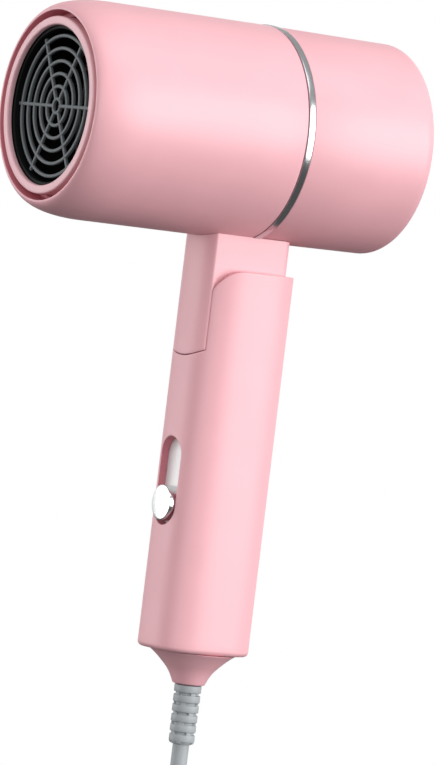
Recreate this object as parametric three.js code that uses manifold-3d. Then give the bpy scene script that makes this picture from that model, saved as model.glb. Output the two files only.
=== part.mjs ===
// Folding hair dryer: a round barrel with heater, motor and fan on a short neck arm, hinged in the
// forked top of an oval grip that carries the slide switch and the mains cord.
//
// Frame: millimetres, +Z up along the grip, barrel axis along X with the air outlet towards -X,
// origin in the middle of the grip, where a hand holds it.

import * as THREE from 'three';
import { mergeVertices } from 'three/addons/utils/BufferGeometryUtils.js';
import Module from 'manifold-3d';

const wasm = await Module();
wasm.setup();

// ---- Driving dimensions -------------------------------------------------------------------------

const GAP = 0.3;                 // air between pieces that touch on the real object

const BARREL_Z = 115;            // barrel axis above the middle of the grip
const BARREL_R = 37.5;
const BARREL_WALL = 2.2;
const LIP_X = -83.3;             // front plane of the barrel
const REAR_X = 52;               // rear plane of the barrel
const RING_X = -0.45;            // middle of the metal trim ring, above the grip's axis
const RING_WIDE = 2.5;
const RING_R = 37.75;

const OUTLET_R = 27.4;           // clear radius of the air outlet
const INTAKE_R = 27.2;           // clear radius of the air intake

const GRIP_A = 18.8;             // half depth of the grip's oval, along X
const GRIP_B = 15.2;             // half width, along Y
const GRIP_N = 2.8;              // exponent of the oval
const GRIP_WALL = 2;
const GRIP_TOP = BARREL_Z - 48.2;
const GRIP_BOTTOM = BARREL_Z - 181;
const GRIP_EDGE = 1.7;           // rounding of the grip's bottom edge

const HINGE_X = -2;              // fold axis, along Y
const HINGE_Z = BARREL_Z - 61.6;
const PIN_R = 3;
const ARM_HALF = 10.4;           // half width of the neck arm between the ears
const ARM_BACK = 14.2;           // rear face of the neck arm
const SEAM_R = 23.3;             // arc of the seam between neck front and grip, seen from the front;
                                 // the neck's front seats on it when the head is folded
const SEAM_Z = BARREL_Z - 78.8;  // lowest point of that seam

const SLOT_TOP = BARREL_Z - 107.4;
const SLOT_BOTTOM = BARREL_Z - 138.2;
const SLOT_HALF = 6.5;
const KNOB_R = 6.2;
const KNOB_Z = BARREL_Z - 130.6; // knob at rest, switched off
const KNOB_TRAVEL = 15;

const CORD_R = 2.9;
const CORD_PITCH = 5.9;          // spacing of neighbouring turns in the hank
const RELIEF_END = BARREL_Z - 213.6;

const ROUND = 36;                // sides of the large round pieces

// ---- Solids -------------------------------------------------------------------------------------

// Turns a closed three.js geometry into a solid: shared vertices merged, slivers dropped, faces out.
function solid(geometry) {
  const bare = new THREE.BufferGeometry();
  bare.setAttribute('position', geometry.getAttribute('position'));
  if (geometry.index) bare.setIndex(geometry.index);
  const merged = mergeVertices(bare, 1e-4);
  const place = merged.getAttribute('position');
  const corners = [];
  let volume = 0;
  const a = new THREE.Vector3();
  const b = new THREE.Vector3();
  const c = new THREE.Vector3();
  for (let i = 0; i < merged.index.count; i += 3) {
    const [p, q, r] = [0, 1, 2].map((k) => merged.index.getX(i + k));
    if (p === q || q === r || r === p) continue;
    corners.push(p, q, r);
    a.fromBufferAttribute(place, p);
    b.fromBufferAttribute(place, q);
    c.fromBufferAttribute(place, r);
    volume += a.dot(b.cross(c));
  }
  if (volume < 0) corners.reverse();
  return new wasm.Manifold(new wasm.Mesh({
    numProp: 3,
    vertProperties: Float32Array.from(place.array),
    triVerts: Uint32Array.from(corners),
  }));
}

function join(first, ...others) {
  return others.reduce((whole, piece) => whole.add(piece), first);
}

function cut(first, ...tools) {
  return tools.reduce((whole, tool) => whole.subtract(tool), first);
}

// A block from its lowest and highest corners.
function block(low, high) {
  const size = high.map((v, i) => v - low[i]);
  const box = new THREE.BoxGeometry(...size);
  box.translate(...low.map((v, i) => v + size[i] / 2));
  return solid(box);
}

// A profile of [x, radius] points turned about the barrel axis. It starts and ends on the axis, or
// closes on itself.
function turnedAboutBarrel(profile, sides = ROUND) {
  const open = profile[0][1] === 0;
  const points = profile.map(([x, r]) => new THREE.Vector2(r, x));
  if (!open) points.push(points[0].clone());
  const lathe = new THREE.LatheGeometry(points, sides);
  lathe.rotateZ(-Math.PI / 2);
  lathe.translate(0, 0, BARREL_Z);
  return solid(lathe);
}

// A profile of [radius, z] points turned about the grip's axis.
function turnedAboutGrip(profile, sides = 24) {
  const open = profile[0][0] === 0;
  const points = profile.map(([r, z]) => new THREE.Vector2(r, z));
  if (!open) points.push(points[0].clone());
  const lathe = new THREE.LatheGeometry(points, sides);
  lathe.rotateX(Math.PI / 2);
  return solid(lathe);
}

// A rod of radius r between two points.
function rod(from, to, r, sides = 20) {
  const start = new THREE.Vector3(...from);
  const along = new THREE.Vector3(...to).sub(start);
  const cylinder = new THREE.CylinderGeometry(r, r, along.length(), sides);
  cylinder.translate(0, along.length() / 2, 0);
  const up = new THREE.Vector3(0, 1, 0);
  const turn = new THREE.Quaternion().setFromUnitVectors(up, along.clone().normalize());
  cylinder.applyQuaternion(turn);
  cylinder.translate(start.x, start.y, start.z);
  return solid(cylinder);
}

// A round tube section carried along a smooth curve through the given points.
function cable(points, r, steps, sides = 8) {
  const curve = new THREE.CatmullRomCurve3(points.map((p) => new THREE.Vector3(...p)));
  const section = new THREE.Shape();
  for (let i = 0; i < sides; i += 1) {
    const turn = (2 * Math.PI * i) / sides;
    section[i === 0 ? 'moveTo' : 'lineTo'](r * Math.cos(turn), r * Math.sin(turn));
  }
  section.closePath();
  return solid(new THREE.ExtrudeGeometry(section, { steps, bevelEnabled: false, extrudePath: curve }));
}

// A shape drawn in X and Y, raised from one height to another.
function raised(shape, low, high, bevel = 0, curveSegments = 6) {
  const flat = new THREE.ExtrudeGeometry(shape, {
    depth: high - low - 2 * bevel,
    bevelEnabled: bevel > 0,
    bevelThickness: bevel,
    bevelSize: bevel,
    bevelOffset: -bevel,
    bevelSegments: 2,
    curveSegments,
  });
  flat.translate(0, 0, low + bevel);
  return solid(flat);
}

// A shape drawn in X and Z, spread equally to both sides of the middle plane.
function acrossY(shape, width, middle = 0) {
  const slab = new THREE.ExtrudeGeometry(shape, { depth: width, bevelEnabled: false, curveSegments: 8 });
  slab.rotateX(Math.PI / 2);
  slab.translate(0, middle + width / 2, 0);
  return solid(slab);
}

// A shape drawn in Y and Z, spread from one X to another.
function alongX(shape, low, high) {
  const slab = new THREE.ExtrudeGeometry(shape, { depth: high - low, bevelEnabled: false, curveSegments: 12 });
  const turn = new THREE.Matrix4().makeBasis(
    new THREE.Vector3(0, 1, 0), new THREE.Vector3(0, 0, 1), new THREE.Vector3(1, 0, 0));
  slab.applyMatrix4(turn);
  slab.translate(low, 0, 0);
  return solid(slab);
}

// The grip's oval, |x/a|^n + |y/b|^n = 1, drawn a given distance inside its outer line.
function oval(inset = 0, sides = 40) {
  const shape = new THREE.Shape();
  for (let i = 0; i < sides; i += 1) {
    const turn = (2 * Math.PI * i) / sides;
    const x = (GRIP_A - inset) * Math.sign(Math.cos(turn)) * Math.abs(Math.cos(turn)) ** (2 / GRIP_N);
    const y = (GRIP_B - inset) * Math.sign(Math.sin(turn)) * Math.abs(Math.sin(turn)) ** (2 / GRIP_N);
    shape[i === 0 ? 'moveTo' : 'lineTo'](x, y);
  }
  shape.closePath();
  return shape;
}

// A stadium of half width r between two heights, its ends round, drawn for acrossY and alongX.
function stadium(r, low, high) {
  const shape = new THREE.Shape();
  shape.absarc(0, high - r, r, 0, Math.PI, false);
  shape.absarc(0, low + r, r, Math.PI, 2 * Math.PI, false);
  shape.closePath();
  return shape;
}

// ---- Finishes and bodies ------------------------------------------------------------------------

function finish(color, roughness, metalness = 0) {
  return new THREE.MeshStandardMaterial({ color, roughness, metalness });
}

const pinkShell = finish('#f7bcc6', 0.42);
const pinkTrim = finish('#efc3cb', 0.4);
const polished = finish('#c9cbcd', 0.18, 1);
const greyWire = finish('#6e7376', 0.5);
const blackPlastic = finish('#14181a', 0.55);
const pearlPlastic = finish('#eef0f0', 0.3);
const steel = finish('#b4b7ba', 0.35, 1);
const zinc = finish('#9a9c9e', 0.45, 1);
const mica = finish('#2e2925', 0.6);
const nichrome = finish('#8a8076', 0.5, 1);
const ferrite = finish('#3a3b3d', 0.7);
const copperCore = finish('#8d5a3c', 0.45, 1);
const greyCord = finish('#b4b9bd', 0.5);
const brassPin = finish('#c8b27a', 0.3, 1);
const redLead = finish('#b23a32', 0.5);

const dryer = new THREE.Group();
const handle = new THREE.Group();
const slider = new THREE.Group();
const head = new THREE.Group();
const rotor = new THREE.Group();
dryer.add(handle);
handle.add(slider, head);
head.add(rotor);

// Adds a solid to a body as a named mesh.
function add(body, name, piece, material) {
  const { vertProperties, triVerts, numProp } = piece.getMesh();
  const geometry = new THREE.BufferGeometry();
  const place = new Float32Array((vertProperties.length / numProp) * 3);
  for (let i = 0; i < place.length / 3; i += 1) {
    for (let k = 0; k < 3; k += 1) place[3 * i + k] = vertProperties[numProp * i + k];
  }
  geometry.setAttribute('position', new THREE.BufferAttribute(place, 3));
  geometry.setIndex(new THREE.BufferAttribute(Uint32Array.from(triVerts), 1));
  geometry.computeVertexNormals();
  const mesh = new THREE.Mesh(geometry, material);
  mesh.name = name;
  body.add(mesh);
}

// ---- Barrel -------------------------------------------------------------------------------------

const SHOULDER_LONG = 17.5;      // length and drop of the crowned front shoulder
const SHOULDER_DROP = 4.7;
const INNER_R = BARREL_R - BARREL_WALL;
const SPIGOT_R = INNER_R - GAP;  // the rear shell's collar that plugs into the front shell
const SPIGOT_IN = SPIGOT_R - 1.4;

// A quarter ellipse of [x, radius] points from the barrel's side round to its front or rear plane.
function shoulder(fromX, toX, fromR, drop, steps) {
  const points = [];
  for (let i = 0; i <= steps; i += 1) {
    const turn = (Math.PI / 2) * (i / steps);
    points.push([fromX + (toX - fromX) * Math.sin(turn), fromR - drop * (1 - Math.cos(turn))]);
  }
  return points;
}

// The front shell: crowned shoulder, thin lip and the ring-shaped groove behind the lip.
function frontBarrel() {
  const grooveR = BARREL_R - SHOULDER_DROP - 0.3;
  const sleeveR = OUTLET_R + 3.5;
  const shell = turnedAboutBarrel([
    [RING_X - RING_WIDE / 2 - GAP, BARREL_R],
    ...shoulder(LIP_X + SHOULDER_LONG, LIP_X, BARREL_R, SHOULDER_DROP, 8),
    [LIP_X + 0.3, grooveR],
    [LIP_X + 7, grooveR],
    [LIP_X + 7, sleeveR],
    [LIP_X + 8.6, sleeveR],
    [LIP_X + 8.6, grooveR + 0.6],
    [LIP_X + 15, INNER_R],
    [RING_X - RING_WIDE / 2 - GAP, INNER_R],
  ]);
  const holes = [-5, 5].map((y) => rod([-12, y, BARREL_Z - 40], [-12, y, BARREL_Z - 30], 1.5, 12));
  return cut(shell, ...holes);
}

// The rear shell: slightly tapered, tightly rounded rear edge, open in the middle for the intake.
function rearBarrel() {
  const front = RING_X + RING_WIDE / 2 + GAP;
  const edge = 5;
  const shell = turnedAboutBarrel([
    [front, BARREL_R - 0.1],
    [REAR_X / 2, BARREL_R - 0.3],
    ...shoulder(REAR_X - edge, REAR_X, BARREL_R - 0.5, edge, 5),
    [REAR_X, INTAKE_R + 0.9],
    [REAR_X - 0.5, INTAKE_R + 0.4],
    [REAR_X - 3.2, INTAKE_R + 0.4],
    [REAR_X - 3.2, 32.4],
    [REAR_X - 6, SPIGOT_R - 0.4],
    [front + 3, SPIGOT_R - 0.1],
    [front + 2, SPIGOT_IN],
    [RING_X - 4.5, SPIGOT_IN],
    [RING_X - 4.5, SPIGOT_R],
    [front, SPIGOT_R],
  ]);
  const wireWay = block([5.2, -6.4, BARREL_Z - 40], [12, 6.4, BARREL_Z - 30]);
  return cut(shell, wireWay);
}

function trimRing() {
  const [low, high] = [RING_X - RING_WIDE / 2, RING_X + RING_WIDE / 2];
  return turnedAboutBarrel([
    [low, RING_R - 0.2], [low + 0.3, RING_R], [high - 0.3, RING_R], [high, RING_R - 0.2],
    [high, INNER_R], [low, INNER_R],
  ]);
}

// Rings of a square strand at equal steps from the hub outwards, on straight bars through the centre.
function spiderGrille(x, radii, strand, thick, bars, barR, sides) {
  const rings = radii.map((r) => turnedAboutBarrel([
    [x, r - strand / 2], [x, r + strand / 2], [x + thick, r + strand / 2], [x + thick, r - strand / 2],
  ], r < 12 ? sides / 2 : sides));
  const spokes = [];
  for (let i = 0; i < bars; i += 1) {
    const bar = new THREE.BoxGeometry(thick, 2 * barR, strand);
    bar.rotateX((Math.PI * i) / bars);
    bar.translate(x + thick / 2, 0, BARREL_Z);
    spokes.push(solid(bar));
  }
  const clear = rod([x - 1, 0, BARREL_Z], [x + thick + 1, 0, BARREL_Z], radii[0] - strand / 2, sides / 2);
  return join(rings[0], ...rings.slice(1), ...spokes).subtract(clear);
}

const FRAME_X = LIP_X + 1.7;     // front of the black frame inside the outlet ring
const GRILLE_X = LIP_X + 3.3;

function outletRing() {
  return turnedAboutBarrel([
    [LIP_X, OUTLET_R + 0.5], [LIP_X, OUTLET_R + 2.5], [LIP_X + 0.4, OUTLET_R + 3],
    [LIP_X + 13, OUTLET_R + 3], [LIP_X + 13, OUTLET_R + 1.5],
    [FRAME_X, OUTLET_R + 1.5], [FRAME_X, OUTLET_R], [LIP_X + 0.5, OUTLET_R],
  ]);
}

function grilleFrame() {
  const outer = OUTLET_R + 1.5 - GAP;
  return turnedAboutBarrel([
    [FRAME_X + GAP, outer], [FRAME_X + 9, outer], [FRAME_X + 9, 26.2], [FRAME_X + GAP, 26.2],
  ]);
}

const outletRadii = [0, 1, 2, 3, 4, 5].map((i) => 2.4 + 4.32 * i);
const intakeRadii = [0, 1, 2, 3].map((i) => 4 + 6.4 * i);

add(head, 'front_barrel', frontBarrel(), pinkShell);
add(head, 'rear_barrel', rearBarrel(), pinkShell);
add(head, 'trim_ring', trimRing(), polished);
add(head, 'outlet_ring', outletRing(), pinkTrim);
add(head, 'grille_frame', grilleFrame(), blackPlastic);
add(head, 'outlet_grille', spiderGrille(GRILLE_X, outletRadii, 1.2, 1.2, 3, 25.8, 24), greyWire);
add(head, 'rear_grille', spiderGrille(REAR_X - 2.4, intakeRadii, 1.8, 1.4, 4, INTAKE_R, 24), pinkTrim);
add(head, 'intake_filter', turnedAboutBarrel([
  [REAR_X - 4.2, 0], [REAR_X - 4.2, 31.4], [REAR_X - 3.6, 31.4], [REAR_X - 3.6, 0],
], 32), blackPlastic);

// ---- Heater -------------------------------------------------------------------------------------

const HEATER = { front: -70, rear: -20, half: 24, board: 0.8, shieldR: 28.6 };

// Two mica boards cross along the axis: each has a slot halfway along that takes the other.
function micaBoard(upright) {
  const { front, rear, half, board } = HEATER;
  const t = board / 2;
  const middle = (front + rear) / 2;
  const slot = t + GAP;
  const plate = upright
    ? block([front, -t, BARREL_Z - half], [rear, t, BARREL_Z + half])
    : block([front, -half, BARREL_Z - t], [rear, half, BARREL_Z + t]);
  const way = upright
    ? block([front - 1, -slot, BARREL_Z - slot], [middle + GAP, slot, BARREL_Z + slot])
    : block([middle, -slot, BARREL_Z - slot], [rear + 1, slot, BARREL_Z + slot]);
  return cut(plate, way);
}

// Resistance wire wound round the outer edges of the crossed boards.
function heaterCoil() {
  const turns = 5;
  const each = 12;
  const points = [];
  for (let i = 0; i <= turns * each; i += 1) {
    const turn = (2 * Math.PI * i) / each;
    const x = -64 + (38 * i) / (turns * each);
    points.push([x, 25.7 * Math.cos(turn), BARREL_Z + 25.7 * Math.sin(turn)]);
  }
  return cable(points, 0.8, turns * each, 4);
}

add(head, 'heater_shield', turnedAboutBarrel([
  [HEATER.front - 1.4, HEATER.shieldR], [-14, HEATER.shieldR],
  [-14, HEATER.shieldR - 0.6], [HEATER.front - 1.4, HEATER.shieldR - 0.6],
], 36), mica);
add(head, 'mica_board_upright', micaBoard(true), mica);
add(head, 'mica_board_flat', micaBoard(false), mica);
add(head, 'heater_coil', heaterCoil(), nichrome);
add(head, 'thermostat', block([-34, 0.8, BARREL_Z + 6], [-25, 4.6, BARREL_Z + 14]), steel);
add(head, 'thermal_fuse', rod([-42, -2.6, BARREL_Z - 9], [-31, -2.6, BARREL_Z - 9], 1.6, 12), steel);

// ---- Fan unit -----------------------------------------------------------------------------------

const MOTOR = { front: -6, rear: 28, r: 14, wall: 1, shaftR: 1.2 };
const DUCT = { front: 4, rear: 45, r: 31.8, wall: 1.2, vanes: 6 };
const FAN = { front: 31, rear: 43, hubR: 9.5, tipR: 30.8, blades: 9 };
const BORE = MOTOR.shaftR + GAP;

// Duct tube with a hub ring round the motor, held by straight stator vanes.
function fanDuct() {
  const tube = turnedAboutBarrel([
    [DUCT.front, DUCT.r], [DUCT.front, DUCT.r + DUCT.wall],
    [DUCT.rear, DUCT.r + DUCT.wall], [DUCT.rear, DUCT.r],
  ], 28);
  const hubR = MOTOR.r + GAP;
  const hub = turnedAboutBarrel([[5, hubR], [5, hubR + 1.3], [25, hubR + 1.3], [25, hubR]], 24);
  const vanes = [];
  for (let i = 0; i < DUCT.vanes; i += 1) {
    const vane = new THREE.BoxGeometry(18, 1.2, DUCT.r + 0.6 - hubR - 0.6);
    vane.translate(15, 0, (DUCT.r + 0.6 + hubR + 0.6) / 2);
    vane.rotateX((2 * Math.PI * (i + 0.5)) / DUCT.vanes);
    vane.translate(0, 0, BARREL_Z);
    vanes.push(solid(vane));
  }
  return join(tube, hub, ...vanes);
}

// Pitched blades round a hub that is pressed on the motor shaft.
function impeller() {
  const hub = turnedAboutBarrel([
    [FAN.front, BORE], [FAN.front, FAN.hubR], [FAN.rear - 2, FAN.hubR],
    [FAN.rear, FAN.hubR - 2.5], [FAN.rear, BORE],
  ], 18);
  const blades = [];
  for (let i = 0; i < FAN.blades; i += 1) {
    const blade = new THREE.BoxGeometry(13, 1.1, FAN.tipR - FAN.hubR + 1);
    blade.rotateZ(0.85);
    blade.translate((FAN.front + FAN.rear) / 2, 0, (FAN.tipR + FAN.hubR - 1) / 2);
    blade.rotateX((2 * Math.PI * i) / FAN.blades);
    blade.translate(0, 0, BARREL_Z);
    blades.push(solid(blade));
  }
  return join(hub, ...blades);
}

// A curved magnet on one side of the armature: side is 1 above it and -1 below it.
function magnet(side) {
  const ring = turnedAboutBarrel([[0, 11.4], [0, 12.7], [24, 12.7], [24, 11.4]], 24);
  const away = side > 0
    ? block([-1, -20, BARREL_Z - 20], [25, 20, BARREL_Z + 4])
    : block([-1, -20, BARREL_Z - 4], [25, 20, BARREL_Z + 20]);
  return cut(ring, away);
}

// Wound armature: a core with three slots, and the commutator in front of it.
function armature() {
  const core = turnedAboutBarrel([
    [-3, BORE], [-3, 4], [2, 4], [2, 10.6], [20, 10.6], [20, BORE],
  ], 18);
  const slots = [0, 1, 2].map((i) => {
    const slot = new THREE.BoxGeometry(22, 3, 5);
    slot.translate(12, 0, 10);
    slot.rotateX((2 * Math.PI * i) / 3);
    slot.translate(0, 0, BARREL_Z);
    return solid(slot);
  });
  return cut(core, ...slots);
}

add(head, 'fan_duct', fanDuct(), blackPlastic);
add(head, 'motor_can', turnedAboutBarrel([
  [MOTOR.front, MOTOR.r - MOTOR.wall], [MOTOR.front, MOTOR.r], [MOTOR.rear, MOTOR.r],
  [MOTOR.rear, BORE + 0.2], [MOTOR.rear - MOTOR.wall, BORE + 0.2],
  [MOTOR.rear - MOTOR.wall, MOTOR.r - MOTOR.wall],
], 24), zinc);
add(head, 'motor_magnet_upper', magnet(1), ferrite);
add(head, 'motor_magnet_lower', magnet(-1), ferrite);
add(head, 'motor_end_cap', turnedAboutBarrel([
  [MOTOR.front - 3, BORE], [MOTOR.front - 3, MOTOR.r - 3], [MOTOR.front - GAP, MOTOR.r],
  [MOTOR.front - GAP, BORE],
], 24), blackPlastic);
add(rotor, 'motor_shaft', rod([-10, 0, BARREL_Z], [44, 0, BARREL_Z], MOTOR.shaftR, 12), steel);
add(rotor, 'armature', armature(), copperCore);
add(rotor, 'fan_impeller', impeller(), blackPlastic);

// ---- Neck arm -----------------------------------------------------------------------------------

// X of the oval's front line at a given Y.
function ovalFront(y) {
  return -GRIP_A * (1 - (Math.abs(y) / GRIP_B) ** GRIP_N) ** (1 / GRIP_N);
}

// Seen from above: the front follows the grip's oval, the sides are flat, the back is rounded.
function armSection() {
  const corner = 3;
  const shape = new THREE.Shape();
  const steps = 10;
  for (let i = 0; i <= steps; i += 1) {
    const y = ARM_HALF - (2 * ARM_HALF * i) / steps;
    shape[i === 0 ? 'moveTo' : 'lineTo'](ovalFront(y), y);
  }
  shape.absarc(ARM_BACK - corner, corner - ARM_HALF, corner, -Math.PI / 2, 0, false);
  shape.absarc(ARM_BACK - corner, ARM_HALF - corner, corner, 0, Math.PI / 2, false);
  shape.closePath();
  return shape;
}

// Below the fold axis the arm ends in a foot: a square front corner, and a round heel with chamfered
// sides that turns inside the grip as the head folds forward.
function armFoot() {
  const heelR = ARM_BACK - HINGE_X;
  const heel = new THREE.LatheGeometry([
    [0, -ARM_HALF], [heelR - 2, -ARM_HALF], [heelR, 2.2 - ARM_HALF],
    [heelR, ARM_HALF - 2.2], [heelR - 2, ARM_HALF], [0, ARM_HALF],
  ].map(([r, y]) => new THREE.Vector2(r, y)), 40);
  heel.translate(HINGE_X, 0, HINGE_Z);
  return join(
    solid(heel),
    block([-25, -20, SEAM_Z - 5], [HINGE_X, 20, BARREL_Z]),
    block([-25, -20, HINGE_Z], [25, 20, BARREL_Z]),
  );
}

// The space below the curved seam, seen from the front, for a seam arc of a given radius.
function belowSeam(radius) {
  const middle = SEAM_Z + SEAM_R;
  const reach = Math.acos(20 / radius);
  const shape = new THREE.Shape();
  shape.moveTo(-20, middle - radius * Math.sin(reach));
  shape.absarc(0, middle, radius, Math.PI + reach, 2 * Math.PI - reach, false);
  shape.lineTo(20, SEAM_Z - 20);
  shape.lineTo(-20, SEAM_Z - 20);
  shape.closePath();
  return shape;
}

// A rod on the fold axis, reaching equally to both sides.
function hingeRod(reach, r) {
  return rod([HINGE_X, -reach, HINGE_Z], [HINGE_X, reach, HINGE_Z], r, 24);
}

function neckArm() {
  const column = raised(armSection(), SEAM_Z - 1, BARREL_Z - 30).intersect(armFoot());
  return cut(
    column,
    alongX(belowSeam(SEAM_R), -26, 20),
    turnedAboutBarrel([[-30, 0], [-30, BARREL_R + GAP], [30, BARREL_R + GAP], [30, 0]]),
    turnedAboutBarrel([[-2.2, 0], [-2.2, RING_R + GAP], [1.3, RING_R + GAP], [1.3, 0]]),
    hingeRod(20, PIN_R + 1.6),
    block([6.6, -5.6, HINGE_Z - 30], [11.6, 5.6, BARREL_Z]),
    rod([-12, -5, BARREL_Z - 48], [-12, -5, BARREL_Z], 1.5, 12),
    rod([-12, 5, BARREL_Z - 48], [-12, 5, BARREL_Z], 1.5, 12),
  );
}

// A flat-headed screw pointing down, its head's underside at a given height.
function screwDown(x, y, underHead, long, headR = 2.5, shankR = 1.2) {
  const profile = [
    [0, -long], [shankR, -long], [shankR, 0], [headR, 0], [headR, 1.4], [0, 1.4],
  ].map(([r, z]) => new THREE.Vector2(r, z));
  const lathe = new THREE.LatheGeometry(profile, 8);
  lathe.rotateX(Math.PI / 2);
  lathe.translate(x, y, underHead);
  return solid(lathe);
}

const bushOut = PIN_R + 1.6 - GAP;
const bushHalf = ARM_HALF - 0.1;
add(head, 'neck_arm', neckArm(), pinkShell);
add(head, 'hinge_bush', cut(hingeRod(bushHalf, bushOut), hingeRod(20, PIN_R + GAP)), brassPin);
[-1, 1].forEach((side, i) => {
  const screw = screwDown(-12, 5 * side, BARREL_Z - INNER_R + 1, 10);
  const lead = rod([9.1, 2.4 * side, HINGE_Z - 8], [9.1, 2.4 * side, BARREL_Z - 34.5], 1.1, 8);
  add(head, `neck_screw_${i + 1}`, screw, steel);
  add(head, `neck_lead_${i + 1}`, lead, redLead);
});

// ---- Grip ---------------------------------------------------------------------------------------

const FORK_HALF = ARM_HALF + GAP;
const EAR_FILLET = 11.4;
const BOSS_Z = [SLOT_TOP + 18.9, SLOT_BOTTOM - 21.5];

// Seen from the side: what the rounded front corner of the ears takes away.
function earCorner() {
  const shape = new THREE.Shape();
  const endX = -5.2;
  shape.moveTo(endX, GRIP_TOP);
  shape.absarc(endX, GRIP_TOP - EAR_FILLET, EAR_FILLET, Math.PI / 2, Math.PI, false);
  shape.lineTo(-30, GRIP_TOP - EAR_FILLET);
  shape.lineTo(-30, GRIP_TOP + 20);
  shape.lineTo(endX, GRIP_TOP + 20);
  shape.closePath();
  return shape;
}

// The opening in the grip's front wall between the ears. It closes below on the seam's arc, and its
// sill slopes down towards the inside, so that the neck's foot can turn past it.
function forkFront() {
  const slope = 1.05;
  const front = ovalFront(0);
  const side = ovalFront(FORK_HALF) - front;
  const middle = SEAM_Z + SEAM_R;
  const drop = middle - Math.sqrt(SEAM_R ** 2 - FORK_HALF ** 2) - SEAM_Z + slope * side;
  const radius = (FORK_HALF ** 2 + drop ** 2) / (2 * drop);
  const reach = Math.acos(FORK_HALF / radius);
  const centre = SEAM_Z - GAP + radius;
  const shape = new THREE.Shape();
  shape.moveTo(FORK_HALF, GRIP_TOP + 10);
  shape.lineTo(-FORK_HALF, GRIP_TOP + 10);
  shape.absarc(0, centre, radius, Math.PI + reach, 2 * Math.PI - reach, false);
  shape.closePath();
  const straight = alongX(shape, front - 4, -10);
  const lean = new THREE.Matrix4().makeShear(0, -slope, 0, 0, 0, 0);
  lean.premultiply(new THREE.Matrix4().makeTranslation(0, 0, slope * front));
  return straight.transform(lean.elements);
}

// One oval sleeve: hollow, with its front opened between two ears for the neck, its back closed,
// and with the switch slot and the switch's screw bosses.
function gripShell() {
  const outer = raised(oval(), GRIP_BOTTOM, GRIP_TOP + GRIP_EDGE, GRIP_EDGE);
  const earFoot = SEAM_Z - 8;
  const hollow = raised(oval(GRIP_WALL, 32), GRIP_BOTTOM - 5, earFoot);
  const fork = raised(oval(GRIP_WALL, 32), earFoot - 1, GRIP_TOP + 5)
    .intersect(block([-30, -FORK_HALF, earFoot - 2], [30, FORK_HALF, GRIP_TOP + 10]));
  const sleeve = cut(
    outer,
    hollow,
    fork,
    forkFront(),
    block([-30, -30, GRIP_TOP], [30, 30, GRIP_TOP + 10]),
    acrossY(earCorner(), 40),
    alongX(stadium(SLOT_HALF, SLOT_BOTTOM, SLOT_TOP), -30, -12),
    hingeRod(13.5, PIN_R + GAP),
  );
  const bosses = BOSS_Z.map((z) => cut(
    rod([-17.6, 0, z], [-13.9, 0, z], 2.4, 16), rod([-16.4, 0, z], [-10, 0, z], 1, 10)));
  return join(sleeve, ...bosses);
}

add(handle, 'grip_shell', gripShell(), pinkShell);
add(handle, 'hinge_pin', hingeRod(13.2, PIN_R), steel);

// ---- Switch -------------------------------------------------------------------------------------

const PLATE_X = -15;             // front face of the pearl plate behind the slot
const PLATE_HALF = 7.6;
const GUIDE_X = -13.6;
const CONTACT_Z = KNOB_Z - 3;    // where the slider's tab stands at rest

function switchGuide() {
  const [top, bottom] = [BOSS_Z[0] + 2.9, BOSS_Z[1] - 3.5];
  const plate = block([GUIDE_X, -9.4, bottom], [GUIDE_X + 1.3, 9.4, top]);
  const rails = [-1, 1].map((side) => block(
    [GUIDE_X - 0.5, Math.min(side * 7.9, side * 8.8), bottom + 8],
    [GUIDE_X + 0.2, Math.max(side * 7.9, side * 8.8), top - 8]));
  const holes = BOSS_Z.map((z) => rod([GUIDE_X - 2, 0, z], [GUIDE_X + 3, 0, z], 1.3, 12));
  const window = block(
    [GUIDE_X - 2, -2.6, CONTACT_Z - 2.5], [GUIDE_X + 3, 2.6, CONTACT_Z + KNOB_TRAVEL + 2.5]);
  return cut(join(plate, ...rails), ...holes, window);
}

function switchBody() {
  const body = block([GUIDE_X + 1.6, -5.5, CONTACT_Z - 7], [-2.5, 5.5, CONTACT_Z + KNOB_TRAVEL + 7]);
  const way = block([GUIDE_X, -2.4, CONTACT_Z - 2.4], [-6.5, 2.4, CONTACT_Z + KNOB_TRAVEL + 2.4]);
  const tags = [-1, 0, 1].map((i) => block(
    [-2.7, -0.4 + 3.2 * i, CONTACT_Z + 3], [1.6, 0.4 + 3.2 * i, CONTACT_Z + 8]));
  return join(cut(body, way), ...tags);
}

// The plate covers the whole slot at every position, and its tab reaches into the switch.
function sliderPlate() {
  const plate = block(
    [PLATE_X, -PLATE_HALF, SLOT_BOTTOM - KNOB_TRAVEL - 1.2], [PLATE_X + 1.1, PLATE_HALF, SLOT_TOP + 1.2]);
  const tab = block([PLATE_X + 0.5, -2, CONTACT_Z - 1.8], [-8, 2, CONTACT_Z + 1.8]);
  return join(plate, tab);
}

function switchKnob() {
  const face = -GRIP_A - 1.5;
  const rim = [
    [0, face - PLATE_X + GAP], [KNOB_R, face - PLATE_X + GAP], [KNOB_R, -0.5], [KNOB_R - 0.5, 0], [0, 0],
  ].map(([r, x]) => new THREE.Vector2(r, x));
  const knob = new THREE.LatheGeometry(rim, 24);
  knob.rotateZ(Math.PI / 2);
  knob.translate(face, 0, KNOB_Z);
  return solid(knob);
}

// A screw pointing towards -X, its head's underside at a given X.
function screwForward(z, underHead, long) {
  return join(
    rod([underHead - long, 0, z], [underHead, 0, z], 0.7, 8),
    rod([underHead - 0.01, 0, z], [underHead + 1.3, 0, z], 2.2, 10));
}

add(handle, 'switch_guide', switchGuide(), blackPlastic);
add(handle, 'switch_body', switchBody(), blackPlastic);
BOSS_Z.forEach((z, i) => {
  add(handle, `switch_screw_${i + 1}`, screwForward(z, GUIDE_X + 1.6, 3.6), steel);
});
add(slider, 'slider_plate', sliderPlate(), pearlPlastic);
add(slider, 'switch_knob', switchKnob(), polished);

// ---- Cord entry ---------------------------------------------------------------------------------

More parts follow.
